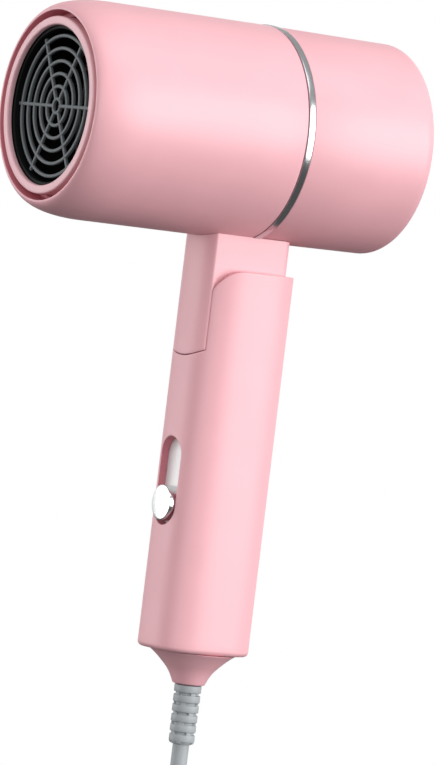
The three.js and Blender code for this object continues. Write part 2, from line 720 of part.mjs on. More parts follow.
const RELIEF_TOP = BARREL_Z - 192.9;
const CAP_TOP = GRIP_BOTTOM + 3.6;

// A plate inside the grip's mouth whose underside flares down into a trumpet round the cord.
function endCap() {
  const plate = raised(oval(GRIP_WALL + GAP, 32), GRIP_BOTTOM + 0.6, CAP_TOP);
  const collar = turnedAboutGrip([
    [0, GRIP_BOTTOM + 1.5], [12.6, GRIP_BOTTOM + 1.5], [12.6, GRIP_BOTTOM - 0.2],
    [15, GRIP_BOTTOM - 0.2], [13.8, GRIP_BOTTOM - 1.3], [11.7, GRIP_BOTTOM - 3.1],
    [9.3, GRIP_BOTTOM - 5.4], [7.6, GRIP_BOTTOM - 7.5], [6.4, GRIP_BOTTOM - 9.7],
    [5.6, RELIEF_TOP + GAP], [0, RELIEF_TOP + GAP],
  ]);
  const posts = [-1, 1].map((side) => cut(
    rod([0, side * 8.2, CAP_TOP - 0.5], [0, side * 8.2, CAP_TOP + 6], 2.4, 14),
    rod([0, side * 8.2, CAP_TOP + 1.5], [0, side * 8.2, CAP_TOP + 8], 1, 10)));
  const bore = rod([0, 0, RELIEF_TOP - 5], [0, 0, CAP_TOP + 5], 3.4, 12);
  return join(cut(join(plate, collar), bore), ...posts);
}

// Ribbed sleeve on the cord: a flange inside the grip, a plain neck and six ribs below the collar.
function strainRelief() {
  const ribs = 6;
  const pitch = (RELIEF_TOP - RELIEF_END) / ribs;
  const profile = [[0, CAP_TOP + 2.2], [4.8, CAP_TOP + 2.2], [4.8, CAP_TOP + GAP], [3, CAP_TOP + GAP]];
  profile.push([3, RELIEF_TOP]);
  for (let i = 0; i < ribs; i += 1) {
    const top = RELIEF_TOP - pitch * i;
    const r = 4.75 - 0.05 * i;
    profile.push([r, top], [r, top - pitch * 0.72], [r - 1.1, top - pitch * 0.72]);
    if (i < ribs - 1) profile.push([r - 1.1, top - pitch]);
  }
  profile.push([3.5, RELIEF_END], [0, RELIEF_END]);
  return turnedAboutGrip(profile, 12);
}

// Bridge that holds the cord's jacket down between the two posts of the end cap.
function cordClamp() {
  const low = CAP_TOP + 6 + GAP;
  const bar = block([-5, -10.8, low], [5, 10.8, low + 3]);
  const holes = [-1, 1].map((side) => rod([0, side * 8.2, low - 1], [0, side * 8.2, low + 5], 1.4, 12));
  return cut(bar, rod([0, 0, low - 1], [0, 0, low + 5], CORD_R + GAP, 20), ...holes);
}

const cordTop = CAP_TOP + 16;
add(handle, 'end_cap', endCap(), pinkShell);
add(handle, 'strain_relief', strainRelief(), greyCord);
add(handle, 'cord_clamp', cordClamp(), blackPlastic);
add(handle, 'cord_inner', rod([0, 0, CAP_TOP + 2.5], [0, 0, cordTop], CORD_R, 14), greyCord);
[-1, 1].forEach((side, i) => {
  add(handle, `clamp_screw_${i + 1}`, screwDown(0, 8.2 * side, CAP_TOP + 9.6, 7.6, 2.1, 0.7), steel);
  add(handle, `inner_lead_${i + 1}`, cable([
    [0, side * 1.4, cordTop + GAP], [0, side * 2, cordTop + 5],
    [0, side * 3, CONTACT_Z - 6], [-0.4, side * 3.2, CONTACT_Z + 3 - GAP],
  ], 0.9, 12, 6), redLead);
});

// ---- Cord, hank and plug ------------------------------------------------------------------------

// Below the strain relief the cord hangs straight, then the rest of its 1.8 m is folded into a
// hank in line with the grip: two rows of turns side by side, four turns deep.
const HANK_TOP = BARREL_Z - 230;
const HANK_RUN = 103.3;                          // straight run of each turn
const HANK_OUT = 23.5;                           // centreline radius of the outer turns' ends
const HANK_IN = HANK_OUT - CORD_PITCH;
const HANK_HALF = HANK_OUT + CORD_R;
const HANK_BOTTOM = HANK_TOP - HANK_RUN - 2 * HANK_HALF;
const HANK_BACK = -3 * CORD_PITCH - CORD_R;      // the turns stack from Y = 0 towards -Y
const HANK_MID = (CORD_R + HANK_BACK) / 2;
const PLUG_TOP = HANK_TOP - HANK_HALF - 49;

function hank() {
  const outline = stadium(HANK_HALF, HANK_BOTTOM, HANK_TOP);
  const inner = HANK_IN - CORD_R;
  outline.holes.push(stadium(inner, HANK_BOTTOM + HANK_HALF - inner, HANK_TOP - HANK_HALF + inner));
  return acrossY(outline, CORD_R - HANK_BACK, HANK_MID);
}

// A flat band wrapped once round the hank.
function tie() {
  const [low, high] = [HANK_TOP - 105, HANK_TOP - 91];
  const outer = block([-HANK_HALF - 1.6, HANK_BACK - 1.6, low], [HANK_HALF + 1.6, CORD_R + 1.6, high]);
  const inner = block(
    [-HANK_HALF - GAP, HANK_BACK - GAP, low - 1], [HANK_HALF + GAP, CORD_R + GAP, high + 1]);
  return cut(outer, inner);
}

// Seen from the front: a plug body with a slim neck, wider towards the pins.
function plugBody() {
  const [neck, waist, wide] = [4, 8, 12];
  const shape = new THREE.Shape();
  shape.moveTo(-neck, PLUG_TOP);
  shape.lineTo(-neck, PLUG_TOP - 6);
  shape.lineTo(-waist, PLUG_TOP - 14);
  shape.lineTo(-wide, PLUG_TOP - 24);
  shape.lineTo(-wide, PLUG_TOP - 36);
  shape.lineTo(wide, PLUG_TOP - 36);
  shape.lineTo(wide, PLUG_TOP - 24);
  shape.lineTo(waist, PLUG_TOP - 14);
  shape.lineTo(neck, PLUG_TOP - 6);
  shape.lineTo(neck, PLUG_TOP);
  shape.closePath();
  const body = alongX(shape, -6.5, 6.5);
  return body.translate([0, HANK_MID, 0]);
}

function plugPin(y) {
  const top = PLUG_TOP - 36 - GAP;
  return block([-0.75, HANK_MID + y - 3.1, top - 16], [0.75, HANK_MID + y + 3.1, top]);
}

const tailTop = HANK_TOP - HANK_HALF;
const turnY = -2 * CORD_PITCH;
const tailRoute = [
  [HANK_IN - CORD_R - CORD_R - GAP, turnY, tailTop - 15],
  [6.5, (HANK_MID + turnY) / 2, tailTop - 24],
  [1.5, HANK_MID, tailTop - 33],
  [0, HANK_MID, tailTop - 41],
  [0, HANK_MID, PLUG_TOP + 0.6],
];
add(handle, 'cord_lead', rod([0, 0, RELIEF_END - GAP], [0, 0, HANK_TOP + GAP], CORD_R, 12), greyCord);
add(handle, 'cord_hank', hank(), greyCord);
add(handle, 'cord_tail', cable(tailRoute, CORD_R, 10, 10), greyCord);
add(handle, 'cord_tie', tie(), blackPlastic);
add(handle, 'plug_body', plugBody(), greyCord);
add(handle, 'plug_pin_left', plugPin(-6.35), brassPin);
add(handle, 'plug_pin_right', plugPin(6.35), brassPin);

export default dryer;
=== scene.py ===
import bmesh
import bpy
import numpy as np
from mathutils import Matrix, Vector
from mathutils.geometry import delaunay_2d_cdt


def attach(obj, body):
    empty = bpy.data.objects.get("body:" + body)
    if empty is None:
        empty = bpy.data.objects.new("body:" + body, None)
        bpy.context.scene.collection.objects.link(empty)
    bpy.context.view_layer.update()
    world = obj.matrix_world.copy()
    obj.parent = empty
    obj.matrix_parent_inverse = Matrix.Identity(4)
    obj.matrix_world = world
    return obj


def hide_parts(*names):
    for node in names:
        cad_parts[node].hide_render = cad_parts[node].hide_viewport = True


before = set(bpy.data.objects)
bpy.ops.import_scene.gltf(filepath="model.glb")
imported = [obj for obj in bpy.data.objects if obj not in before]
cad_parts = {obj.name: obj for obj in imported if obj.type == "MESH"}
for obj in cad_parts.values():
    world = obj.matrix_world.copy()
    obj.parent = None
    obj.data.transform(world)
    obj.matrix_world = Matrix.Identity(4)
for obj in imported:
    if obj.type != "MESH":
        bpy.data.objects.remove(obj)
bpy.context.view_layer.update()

# ---- Camera, light and floor --------------------------------------------------------------------
# A long lens stands level with the grip, to the left of the air outlet, and leans a little, so that
# the barrel slopes down towards its rear. A strong soft lamp lights the near side, weak ones stand
# above it, by the outlet and on the far side, and a pale floor lies under the hanging cord.

CAMERA_TURN, CAMERA_RISE, CAMERA_ROLL = np.radians([-31.103, 0.649, 6.934])
CAMERA_AWAY = 1.93585
GRIP_POINT = np.array([-0.012, 0.0, 0.045])     # the point that the camera is placed around
AIM_RIGHT, AIM_DOWN = 0.00553, 0.01808          # and how far from it the lens points
LENS_MM, FILM_MM = 263.5, 36.0


def camera_axes(forward, roll):
    """Right and up: the horizontal and its perpendicular, both turned by the roll about forward."""
    right = np.cross(forward, (0, 0, 1))
    right /= np.linalg.norm(right)
    up = np.cross(right, forward)
    return (right * np.cos(roll) + up * np.sin(roll), up * np.cos(roll) - right * np.sin(roll))


towards = np.array([np.sin(CAMERA_TURN) * np.cos(CAMERA_RISE),
                    -np.cos(CAMERA_TURN) * np.cos(CAMERA_RISE), np.sin(CAMERA_RISE)])
stand = GRIP_POINT + CAMERA_AWAY * towards
right, up = camera_axes(-towards, CAMERA_ROLL)
forward = GRIP_POINT + AIM_RIGHT * right - AIM_DOWN * up - stand
forward /= np.linalg.norm(forward)
right, up = camera_axes(forward, CAMERA_ROLL)
camera = bpy.data.objects.new("camera", bpy.data.cameras.new("camera"))
camera.data.sensor_fit = "VERTICAL"
camera.data.sensor_height = FILM_MM
camera.data.lens = LENS_MM
camera.data.clip_start, camera.data.clip_end = 0.05, 20
camera.matrix_world = Matrix((*zip(right, up, -forward, stand), (0, 0, 0, 1)))
bpy.context.scene.collection.objects.link(camera)
bpy.context.scene.camera = camera
bpy.context.scene.view_settings.view_transform = "Standard"


def linear(colour):
    """A hex colour such as #c0ffee as linear red, green, blue and alpha, by the sRGB curve."""
    part = np.array([int(colour[i:i + 2], 16) for i in (1, 3, 5)]) / 255
    curve = np.where(part <= 0.04045, part / 12.92, ((part + 0.055) / 1.055) ** 2.4)
    return (*curve, 1.0)


def add_node(tree, kind, values=(), links=(), **settings):
    """Adds a node, sets its attributes and the values of its inputs, and links sockets to them."""
    new = tree.nodes.new("ShaderNode" + kind)
    for name, value in settings.items():
        setattr(new, name, value)
    for name, value in dict(values).items():
        new.inputs[name].default_value = value
    for name, socket in dict(links).items():
        tree.links.new(socket, new.inputs[name])
    return new


def soft_lamp(name, spot, aim, size, watts):
    """A round lamp of the given width in metres, whose face looks from its spot to the aim."""
    lamp = bpy.data.objects.new(name, bpy.data.lights.new(name, "AREA"))
    lamp.data.shape, lamp.data.size, lamp.data.energy = "DISK", size, watts
    turn = (Vector(aim) - Vector(spot)).to_track_quat("-Z", "Y")
    lamp.matrix_world = Matrix.Translation(spot) @ turn.to_matrix().to_4x4()
    bpy.context.scene.collection.objects.link(lamp)


LAMP_AIM = (0, 0, 0.06)
soft_lamp("near_side_lamp", (1.02, -1.61, 0.3), LAMP_AIM, 1.6, 34)
soft_lamp("top_lamp", (0.2, -0.9, 1.8), LAMP_AIM, 1.4, 10)
soft_lamp("outlet_side_lamp", (-1.5, -1.4, 0.2), LAMP_AIM, 1.2, 7.5)
soft_lamp("far_side_lamp", (-1.5, 1.3, 0.1), LAMP_AIM, 1.6, 15)

# The room is white and dimmer below than above. What shines sees it darkest below, brightest round
# the horizon and half as bright overhead, and the lens sees plain white.
ROOM_LOW, ROOM_HIGH = 0.12, 0.62
SHINE_BAND = ((-0.35, 0.12), (-0.02, 1.0), (0.2, 1.0), (0.5, 0.5))      # rise, brightness
world = bpy.data.worlds.new("white_room")
bpy.context.scene.world = world
world.use_nodes = True
room = world.node_tree
room.nodes.clear()
view = add_node(room, "TexCoord")
rise = add_node(room, "SeparateXYZ", links={"Vector": view.outputs["Generated"]})
fade = add_node(room, "MapRange", {"From Min": -0.6, "From Max": 0.6, "To Min": ROOM_LOW,
                                   "To Max": ROOM_HIGH}, {"Value": rise.outputs["Z"]})
level = add_node(room, "MapRange", {"From Min": -1.0, "From Max": 1.0},
                 {"Value": rise.outputs["Z"]})
shine = add_node(room, "ValToRGB", links={"Fac": level.outputs["Result"]})
for z, grey in SHINE_BAND:
    stop = shine.color_ramp.elements.new((z + 1) / 2)
    stop.color = (grey, grey, grey, 1)
shine.color_ramp.elements.remove(shine.color_ramp.elements[0])
shine.color_ramp.elements.remove(shine.color_ramp.elements[-1])
seen = add_node(room, "LightPath")
mirrored = add_node(room, "Mix", links={"Factor": seen.outputs["Is Glossy Ray"],
                                        "A": fade.outputs["Result"], "B": shine.outputs["Color"]})
strength = add_node(room, "Mix", {"B": 1.0},
                    {"Factor": seen.outputs["Is Camera Ray"], "A": mirrored.outputs["Result"]})
walls = add_node(room, "Background", {"Color": (1, 1, 1, 1)},
                 {"Strength": strength.outputs["Result"]})
add_node(room, "OutputWorld", links={"Surface": walls.outputs["Background"]})

FLOOR_Z, FLOOR_HALF = -0.273, 1.5
floor_mesh = bpy.data.meshes.new("floor")
corners = FLOOR_HALF * np.array([(-1, -1), (1, -1), (1, 1), (-1, 1)])
corners = np.column_stack([corners, np.full(4, FLOOR_Z)])
floor_mesh.from_pydata(corners.tolist(), [], [(0, 1, 2, 3)])
floor = bpy.data.objects.new("floor", floor_mesh)
bpy.context.scene.collection.objects.link(floor)
floor.visible_diffuse = floor.visible_glossy = False
floor_paint = bpy.data.materials.new("matt_white_floor")
floor_paint.use_nodes = True
floor_surface = floor_paint.node_tree.nodes["Principled BSDF"]
floor_surface.inputs["Base Color"].default_value = linear("#f4f4f3")
floor_surface.inputs["Roughness"].default_value = 0.9
floor_mesh.materials.append(floor_paint)

# ---- Mains cord ---------------------------------------------------------------------------------
# A round two-core cord, 5.8 mm across, with an extruded grey PVC jacket. It hangs straight from the
# strain relief, and the rest of its 1.8 m is folded into a hank, four turns deep outside and two
# inside, with the plug in its hole and a rubber band round it. All sizes from here on are mm.

BARREL_Z = 115.0                            # height of the barrel's axis
GAP = 0.3                                   # between pieces that meet or slide
CORD_R, CORD_PITCH = 2.9, 5.9
RELIEF_END = BARREL_Z - 213.6
LEAD_END = RELIEF_END - 18.4                # here the cord starts to swing out to the first turn
RUN_TOP, RUN_BOTTOM = -141.4, -244.7        # the hank's straight runs lie between these heights
SWING_FALL, TAIL_FALL = 47.0, 45.0          # height of the bends that lead into and out of the hank
TURN_OUT, TURN_IN = 23.5, 17.6
HANK_MID = -1.5 * CORD_PITCH
PLUG_TOP = -190.4


def run(x, z0, z1, y0, y1, steps=14):
    """A straight run between two heights, whose Y changes by half a cosine wave on the way."""
    t = np.linspace(0, 1, steps)[:-1]
    return np.column_stack([np.full_like(t, x), y0 + (y1 - y0) * (1 - np.cos(np.pi * t)) / 2,
                            z0 + (z1 - z0) * t])


def half_turn(x0, x1, z, y, down, steps=25):
    """Half a circle from x0 to x1 in a plane of constant Y, below or above the height z."""
    t = np.linspace(0, np.pi, steps)[:-1]
    r = abs(x1 - x0) / 2
    return np.column_stack([(x0 + x1) / 2 + (x0 - x1) / 2 * np.cos(t), np.full_like(t, y),
                            z + (-r if down else r) * np.sin(t)])


def swing(x0, x1, z0, z1, y0, y1, steps=16):
    """Two equal arcs that turn away from the vertical and back to it while X goes from x0 to x1."""
    lean = 2 * np.arctan2(abs(x1 - x0), z0 - z1)
    r = (z0 - z1) / 2 / np.sin(lean)
    turned_by = np.linspace(0, 2 * lean, steps)[:-1]
    first, rest = turned_by <= lean, 2 * lean - turned_by
    across = np.where(first, r * (1 - np.cos(turned_by)), abs(x1 - x0) - r * (1 - np.cos(rest)))
    fallen = np.where(first, r * np.sin(turned_by), z0 - z1 - r * np.sin(rest))
    part = fallen / (z0 - z1)
    return np.column_stack([x0 + np.sign(x1 - x0) * across,
                            y0 + (y1 - y0) * (1 - np.cos(np.pi * part)) / 2, z0 - fallen])


rows = [-CORD_PITCH * i for i in range(4)]
stretch = [run(0, RELIEF_END, LEAD_END, 0, 0, 6),
           swing(0, TURN_OUT, LEAD_END, LEAD_END - SWING_FALL, 0, 0),
           run(TURN_OUT, LEAD_END - SWING_FALL, RUN_BOTTOM, 0, 0, 9)]
for i in range(3):
    stretch += [half_turn(TURN_OUT, -TURN_OUT, RUN_BOTTOM, rows[i], True),
                run(-TURN_OUT, RUN_BOTTOM, RUN_TOP, rows[i], rows[i + 1]),
                half_turn(-TURN_OUT, TURN_OUT, RUN_TOP, rows[i + 1], False),
                run(TURN_OUT, RUN_TOP, RUN_BOTTOM, rows[i + 1], rows[i + 1])]
stretch += [half_turn(TURN_OUT, -TURN_IN, RUN_BOTTOM, rows[3], True),
            run(-TURN_IN, RUN_BOTTOM, RUN_TOP, rows[3], rows[3]),
            half_turn(-TURN_IN, TURN_IN, RUN_TOP, rows[3], False),
            run(TURN_IN, RUN_TOP, RUN_BOTTOM, rows[3], rows[2]),
            half_turn(TURN_IN, -TURN_IN, RUN_BOTTOM, rows[2], True),
            run(-TURN_IN, RUN_BOTTOM, RUN_TOP, rows[2], rows[2]),
            half_turn(-TURN_IN, TURN_IN, RUN_TOP, rows[2], False),
            swing(TURN_IN, 0, RUN_TOP, RUN_TOP - TAIL_FALL, rows[2], HANK_MID),
            run(0, RUN_TOP - TAIL_FALL, PLUG_TOP - 2, HANK_MID, HANK_MID, 5),
            np.array([[0, HANK_MID, PLUG_TOP - 2]])]
cord_line = np.vstack(stretch)


def grid_faces(count, around, close_count=False, close_around=True):
    """Quads between neighbours of a grid stored row by row, wrapped round where it closes."""
    row, spoke = np.meshgrid(np.arange(count - (not close_count)),
                             np.arange(around - (not close_around)), indexing="ij")
    row, spoke = row.ravel(), spoke.ravel()
    next_row, next_spoke = (row + 1) % count, (spoke + 1) % around
    return np.column_stack([row * around + spoke, next_row * around + spoke,
                            next_row * around + next_spoke, row * around + next_spoke])


def tube(line, r, sides):
    """Circles across the line, whose first spoke is square to the line and to the Y axis."""
    along = np.gradient(line, axis=0)
    along /= np.linalg.norm(along, axis=1)[:, None]
    first = np.cross(along, (0, 1, 0))
    first /= np.linalg.norm(first, axis=1)[:, None]
    second = np.cross(along, first)
    a = np.linspace(0, 2 * np.pi, sides, endpoint=False)[None, :, None]
    rings = line[:, None] + r * (np.cos(a) * first[:, None] + np.sin(a) * second[:, None])
    ends = np.repeat(line[[0, -1]][:, None], sides, axis=1)
    points = np.concatenate([ends[:1], rings, ends[1:]]).reshape(-1, 3)
    return points, grid_faces(len(line) + 2, sides)


def make(name, points, faces, finish, body, slot, stands_for=(), smooth=35):
    """A mesh from points in mm: doubles merged, faces turned out, smooth below an edge angle."""
    mesh = bpy.data.meshes.new(name)
    mesh.from_pydata((np.asarray(points) / 1000).tolist(), [], [list(f) for f in faces])
    work = bmesh.new()
    work.from_mesh(mesh)
    bmesh.ops.remove_doubles(work, verts=work.verts, dist=2e-7)
    bmesh.ops.recalc_face_normals(work, faces=work.faces)
    work.to_mesh(mesh)
    work.free()
    mesh.shade_smooth()
    mesh.set_sharp_from_angle(angle=np.radians(smooth))
    mesh.materials.append(finish)
    piece = bpy.data.objects.new(name, mesh)
    bpy.context.scene.collection.objects.link(piece)
    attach(piece, body)
    if stands_for:
        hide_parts(*stands_for)
    return piece


DRIFT_MM, DRIFT_LOW, DRIFT_HIGH = 12, 0.3, 0.7


def finish_of(name, colour, roughness, values=(), grain=0.5, depth=0.01, tint=0.04,
              streak=(1, 1, 1), wear=0.08):
    """A Principled surface whose colour and roughness drift a little over 12 mm, with a fine grain.

    grain is the width of one grain in mm, depth its height in mm, tint the drift of the colour and
    wear that of the roughness. streak stretches the grain along an axis, as brushing does.
    """
    made = bpy.data.materials.new(name)
    made.use_nodes = True
    tree = made.node_tree
    surface = tree.nodes["Principled BSDF"]
    at = add_node(tree, "TexCoord")
    drift = add_node(tree, "TexNoise", {"Scale": 1000 / DRIFT_MM, "Detail": 2.0},
                     {"Vector": at.outputs["Object"]})
    shade = np.array(linear(colour)[:3])
    ramp = add_node(tree, "ValToRGB", links={"Fac": drift.outputs["Fac"]})
    darker, lighter = ramp.color_ramp.elements
    darker.position, lighter.position = DRIFT_LOW, DRIFT_HIGH
    darker.color = (*(shade * (1 - tint)), 1)
    lighter.color = (*np.minimum(shade * (1 + tint), 1), 1)
    tree.links.new(ramp.outputs["Color"], surface.inputs["Base Color"])
    rough = add_node(tree, "MapRange", {
        "From Min": DRIFT_LOW, "From Max": DRIFT_HIGH, "To Min": roughness * (1 - wear),
        "To Max": roughness * (1 + wear)}, {"Value": drift.outputs["Fac"]})
    tree.links.new(rough.outputs["Result"], surface.inputs["Roughness"])
    lie = add_node(tree, "Mapping", {"Scale": streak}, {"Vector": at.outputs["Object"]})
    fine = add_node(tree, "TexNoise", {"Scale": 1000 / grain, "Detail": 1.0},
                    {"Vector": lie.outputs["Vector"]})
    bump = add_node(tree, "Bump", {"Strength": 1.0, "Distance": depth / 1000},
                    {"Height": fine.outputs["Fac"]})
    tree.links.new(bump.outputs["Normal"], surface.inputs["Normal"])
    for socket, value in dict(values).items():
        surface.inputs[socket].default_value = value
    return made


# Extruded soft PVC: an even satin grey whose skin is very slightly pulled along its length.
soft_pvc = finish_of("soft_grey_pvc", "#a3a8ab", 0.5, {"IOR": 1.53}, grain=0.7, depth=0.02,
                     tint=0.03)
mains_cord = make("mains_cord", *tube(cord_line, CORD_R, 20), soft_pvc, "handle", "grey_cord",
                  ["cord_lead", "cord_hank", "cord_tail"])

# ---- Plug, band and strain relief ---------------------------------------------------------------
# The two-pin plug is moulded on the cord in the same PVC, slim at the cord and wide at the pins, a
# flat rubber band holds the hank, and a ribbed sleeve keeps the cord from kinking at the grip.


def oval_rings(half_x, half_y, z, power, sides, middle_y=0.0):
    """Rings of the curve |x/a|^n + |y/b|^n = 1, each at its own height, size and exponent n."""
    a = np.linspace(0, 2 * np.pi, sides, endpoint=False)[None]
    bend = 2 / np.broadcast_to(power, np.shape(z))[:, None]
    x = np.asarray(half_x)[:, None] * np.sign(np.cos(a)) * np.abs(np.cos(a)) ** bend
    y = np.asarray(half_y)[:, None] * np.sign(np.sin(a)) * np.abs(np.sin(a)) ** bend
    z = np.repeat(np.asarray(z, float)[:, None], sides, axis=1)
    return np.stack([x, y + middle_y, z], axis=-1).reshape(-1, 3)


# The plug's profile: distance below its top, and half its width and half its depth there.
plug_profile = np.array([
    (0, 0, 0), (0, 3.4, 3.4), (0.5, 3.9, 3.9), (1.5, 4, 4), (6, 4, 4.2), (9, 5, 4.8),
    (12, 6.8, 5.6), (15, 8.4, 6.1), (18, 9.6, 6.3), (21, 10.8, 6.5), (24, 11.8, 6.5),
    (27, 12, 6.5), (30, 12, 6.5), (33, 12, 6.5), (34.6, 11.9, 6.4), (35.6, 11.3, 5.9),
    (36, 10, 4.8), (36, 0, 0)])
plug_drop, plug_wide, plug_deep = plug_profile.T
PLUG_POWER, PLUG_SIDES = 2.6, 64
plug = make("plug", oval_rings(plug_deep, plug_wide, PLUG_TOP - plug_drop, PLUG_POWER, PLUG_SIDES,
                               HANK_MID),
            grid_faces(len(plug_drop), PLUG_SIDES), soft_pvc, "handle", "grey_cord", ["plug_body"])

BAND_X, BAND_Y, BAND_THICK, BAND_LOW, BAND_HIGH = 28.0, 13.35, 1.3, -220.0, -206.0
BAND_POWER, BAND_SIDES, EDGE_STEPS = 7.0, 120, 24
edge = np.linspace(0, 2 * np.pi, EDGE_STEPS, endpoint=False)
skin = BAND_THICK / 2 * np.sign(np.cos(edge)) * np.abs(np.cos(edge)) ** 0.5
band_z = (BAND_HIGH + BAND_LOW) / 2 + (BAND_HIGH - BAND_LOW) / 2 * (
    np.sign(np.sin(edge)) * np.abs(np.sin(edge)) ** 0.25)
# Moulded rubber: near black and dull.
rubber = finish_of("matt_black_rubber", "#1b1d1e", 0.7, {"IOR": 1.52}, grain=0.9, depth=0.03)
band = make("cord_band", oval_rings(BAND_X - BAND_THICK / 2 + skin, BAND_Y - BAND_THICK / 2 + skin,
                                    band_z, BAND_POWER, BAND_SIDES, HANK_MID),
            grid_faces(EDGE_STEPS, BAND_SIDES, close_count=True), rubber, "handle", "black_plastic",
            ["cord_tie"])

RELIEF_TOP, FLANGE_TOP = BARREL_Z - 192.9, BARREL_Z - 175.2
RIBS, RIB_R, CORE_R, RIB_PART = 6, 4.75, 3.55, 0.73     # a rib takes this part of its pitch
RIB_TAPER, WEB_DROP, WEB_START, WEB_RISE = 0.05, 0.45, 0.55, 0.12
HEAD_Z, HEAD_R, SLEEVE_Z, SLEEVE_R = FLANGE_TOP - 3.4, 4.8, FLANGE_TOP - 5.3, 3.0
rib_pitch = (RELIEF_TOP - RELIEF_END) / RIBS


def relief_surface(sides=96):
    """Radius as a function of height and angle: ribs at equal steps, between them a thinner core
    with four webs nearly as wide as the ribs, turned by an eighth of a turn from gap to gap."""
    step = np.array([0, 0.001, 0.03, 0.07, 0.66, 0.7, RIB_PART, RIB_PART + 0.001, 0.86, 0.999])
    z = RELIEF_TOP - rib_pitch * (np.arange(RIBS)[:, None] + step[None]).ravel()
    part = np.tile(step, RIBS)
    gap = np.repeat(np.arange(RIBS), len(step))
    angle = np.linspace(0, 2 * np.pi, sides, endpoint=False)
    wave = np.cos(4 * (angle[None] + np.pi / 4 * (gap[:, None] % 2)))
    web = np.clip((wave - WEB_START) / WEB_RISE, 0, 1)
    rounding = np.interp(part, [0, 0.03, 0.07, 0.66, 0.7, RIB_PART], [0.2, 0.05, 0, 0, 0.05, 0.2])
    rib = RIB_R - RIB_TAPER * gap - rounding
    core = CORE_R + (RIB_R - WEB_DROP - CORE_R) * web
    in_rib = (part <= RIB_PART + 0.0005)[:, None] & (part > 0)[:, None]
    r = np.where(in_rib, rib[:, None], core)
    r[-1] = CORD_R + GAP
    head = np.array([(HEAD_Z, 0), (HEAD_Z, HEAD_R), (SLEEVE_Z, HEAD_R), (SLEEVE_Z, SLEEVE_R),
                     (RELIEF_TOP + 0.2, SLEEVE_R)])
    tip = np.array([(RELIEF_END, CORD_R + GAP), (RELIEF_END, 0)])
    z = np.concatenate([head[:, 0], z, tip[:, 0]])
    r = np.vstack([np.repeat(head[:, 1:], sides, 1), r, np.repeat(tip[:, 1:], sides, 1)])
    x, y = r * np.cos(angle), r * np.sin(angle)
    points = np.stack([x, y, np.repeat(z[:, None], sides, 1)], -1)
    return points.reshape(-1, 3), grid_faces(len(z), sides)


relief = make("ribbed_strain_relief", *relief_surface(), soft_pvc, "handle", "grey_cord",
              ["strain_relief"])

# ---- Barrel shells ------------------------------------------------------------------------------
# Front and rear shell are injection-moulded ABS with a satin skin, pushed together behind the metal
# ring. The front has a crowned shoulder that ends in a thin lip with a deep groove behind it.

LIP_X, RING_X, REAR_X = -83.3, -0.45, 52.0
BARREL_R, INNER_R, RING_WIDE = 37.5, 35.3, 2.5
OUTLET_R, INTAKE_R = 27.4, 27.2


def filleted(corners, radii, steps=5):
    """Each corner of a closed outline becomes a parabola that leaves its two sides smoothly."""
    p = np.asarray(corners, float)
    before, after = np.roll(p, 1, 0) - p, np.roll(p, -1, 0) - p
    long_before, long_after = np.linalg.norm(before, axis=1), np.linalg.norm(after, axis=1)
    reach = np.minimum(np.broadcast_to(radii, len(p)), 0.45 * np.minimum(long_before, long_after))
    start = p + before / long_before[:, None] * reach[:, None]
    end = p + after / long_after[:, None] * reach[:, None]
    s = np.linspace(0, 1, steps)[None, :, None]
    curve = (1 - s) ** 2 * start[:, None] + 2 * s * (1 - s) * p[:, None] + s ** 2 * end[:, None]
    return curve.reshape(-1, 2)


def turned(outline, sides=160, middle=(0.0, 0.0, BARREL_Z), axis="x", closed=True):
    """An outline of (place along the axis, radius) points, carried round the axis."""
    outline = np.asarray(outline, float)
    a = np.linspace(0, 2 * np.pi, sides, endpoint=False)[None]
    along, r = outline[:, :1], outline[:, 1:]
    along = np.repeat(along, sides, axis=1)
    across, rise = r * np.cos(a), r * np.sin(a)
    order = (across, rise, along) if axis == "z" else (along, across, rise)
    points = np.stack(order, -1).reshape(-1, 3) + np.asarray(middle)
    return points, grid_faces(len(outline), sides, close_count=closed)


def shoulder(from_x, to_x, from_r, drop, steps):
    """A quarter of an ellipse from the barrel's side round to its end plane."""
    a = np.linspace(0, np.pi / 2, steps)
    return np.column_stack([from_x + (to_x - from_x) * np.sin(a), from_r - drop * (1 - np.cos(a))])


# Satin moulded ABS: an even pink with a fine spark-eroded skin that spreads the highlights.
satin_abs = finish_of("satin_pink_abs", "#eeb2ba", 0.42, {"IOR": 1.53}, grain=0.35, depth=0.004,
                      tint=0.012)

front_end = RING_X - RING_WIDE / 2 - GAP
SHOULDER_LONG, SHOULDER_DROP = 17.5, 4.7
groove_r = BARREL_R - SHOULDER_DROP - 0.3
web_front, web_back, web_r = LIP_X + 7, LIP_X + 8.6, OUTLET_R + 3.5     # the groove's floor
front_outline = np.vstack([
    shoulder(LIP_X + SHOULDER_LONG, LIP_X, BARREL_R, SHOULDER_DROP, 28),
    [[LIP_X + 0.02, groove_r + 0.14], [LIP_X + 0.14, groove_r + 0.03], [LIP_X + 0.3, groove_r]],
    filleted([(web_front, groove_r), (web_front, web_r), (web_back, web_r),
              (web_back, groove_r + 0.6)], [0.5, 0.1, 0.1, 0.1], 4),
    [[LIP_X + 15, INNER_R], [-40, INNER_R], [front_end, INNER_R], [front_end, BARREL_R - 0.2]],
    [[front_end - 0.06, BARREL_R - 0.06], [front_end - 0.2, BARREL_R]],
    [[-20, BARREL_R], [-40, BARREL_R], [-58, BARREL_R]],
])
barrel_front = make("barrel_front", *turned(front_outline, 200), satin_abs, "head", "pink_shell",
                    ["front_barrel"])


def refinish(piece, finish, chosen):
    """Gives another finish to the faces whose middles, in mm, pass the test."""
    middle = np.empty(len(piece.data.polygons) * 3)
    piece.data.polygons.foreach_get("center", middle)
    piece.data.materials.append(finish)
    hit = chosen(*middle.reshape(-1, 3).T * 1000)
    piece.data.polygons.foreach_set("material_index", hit.astype(np.int32))


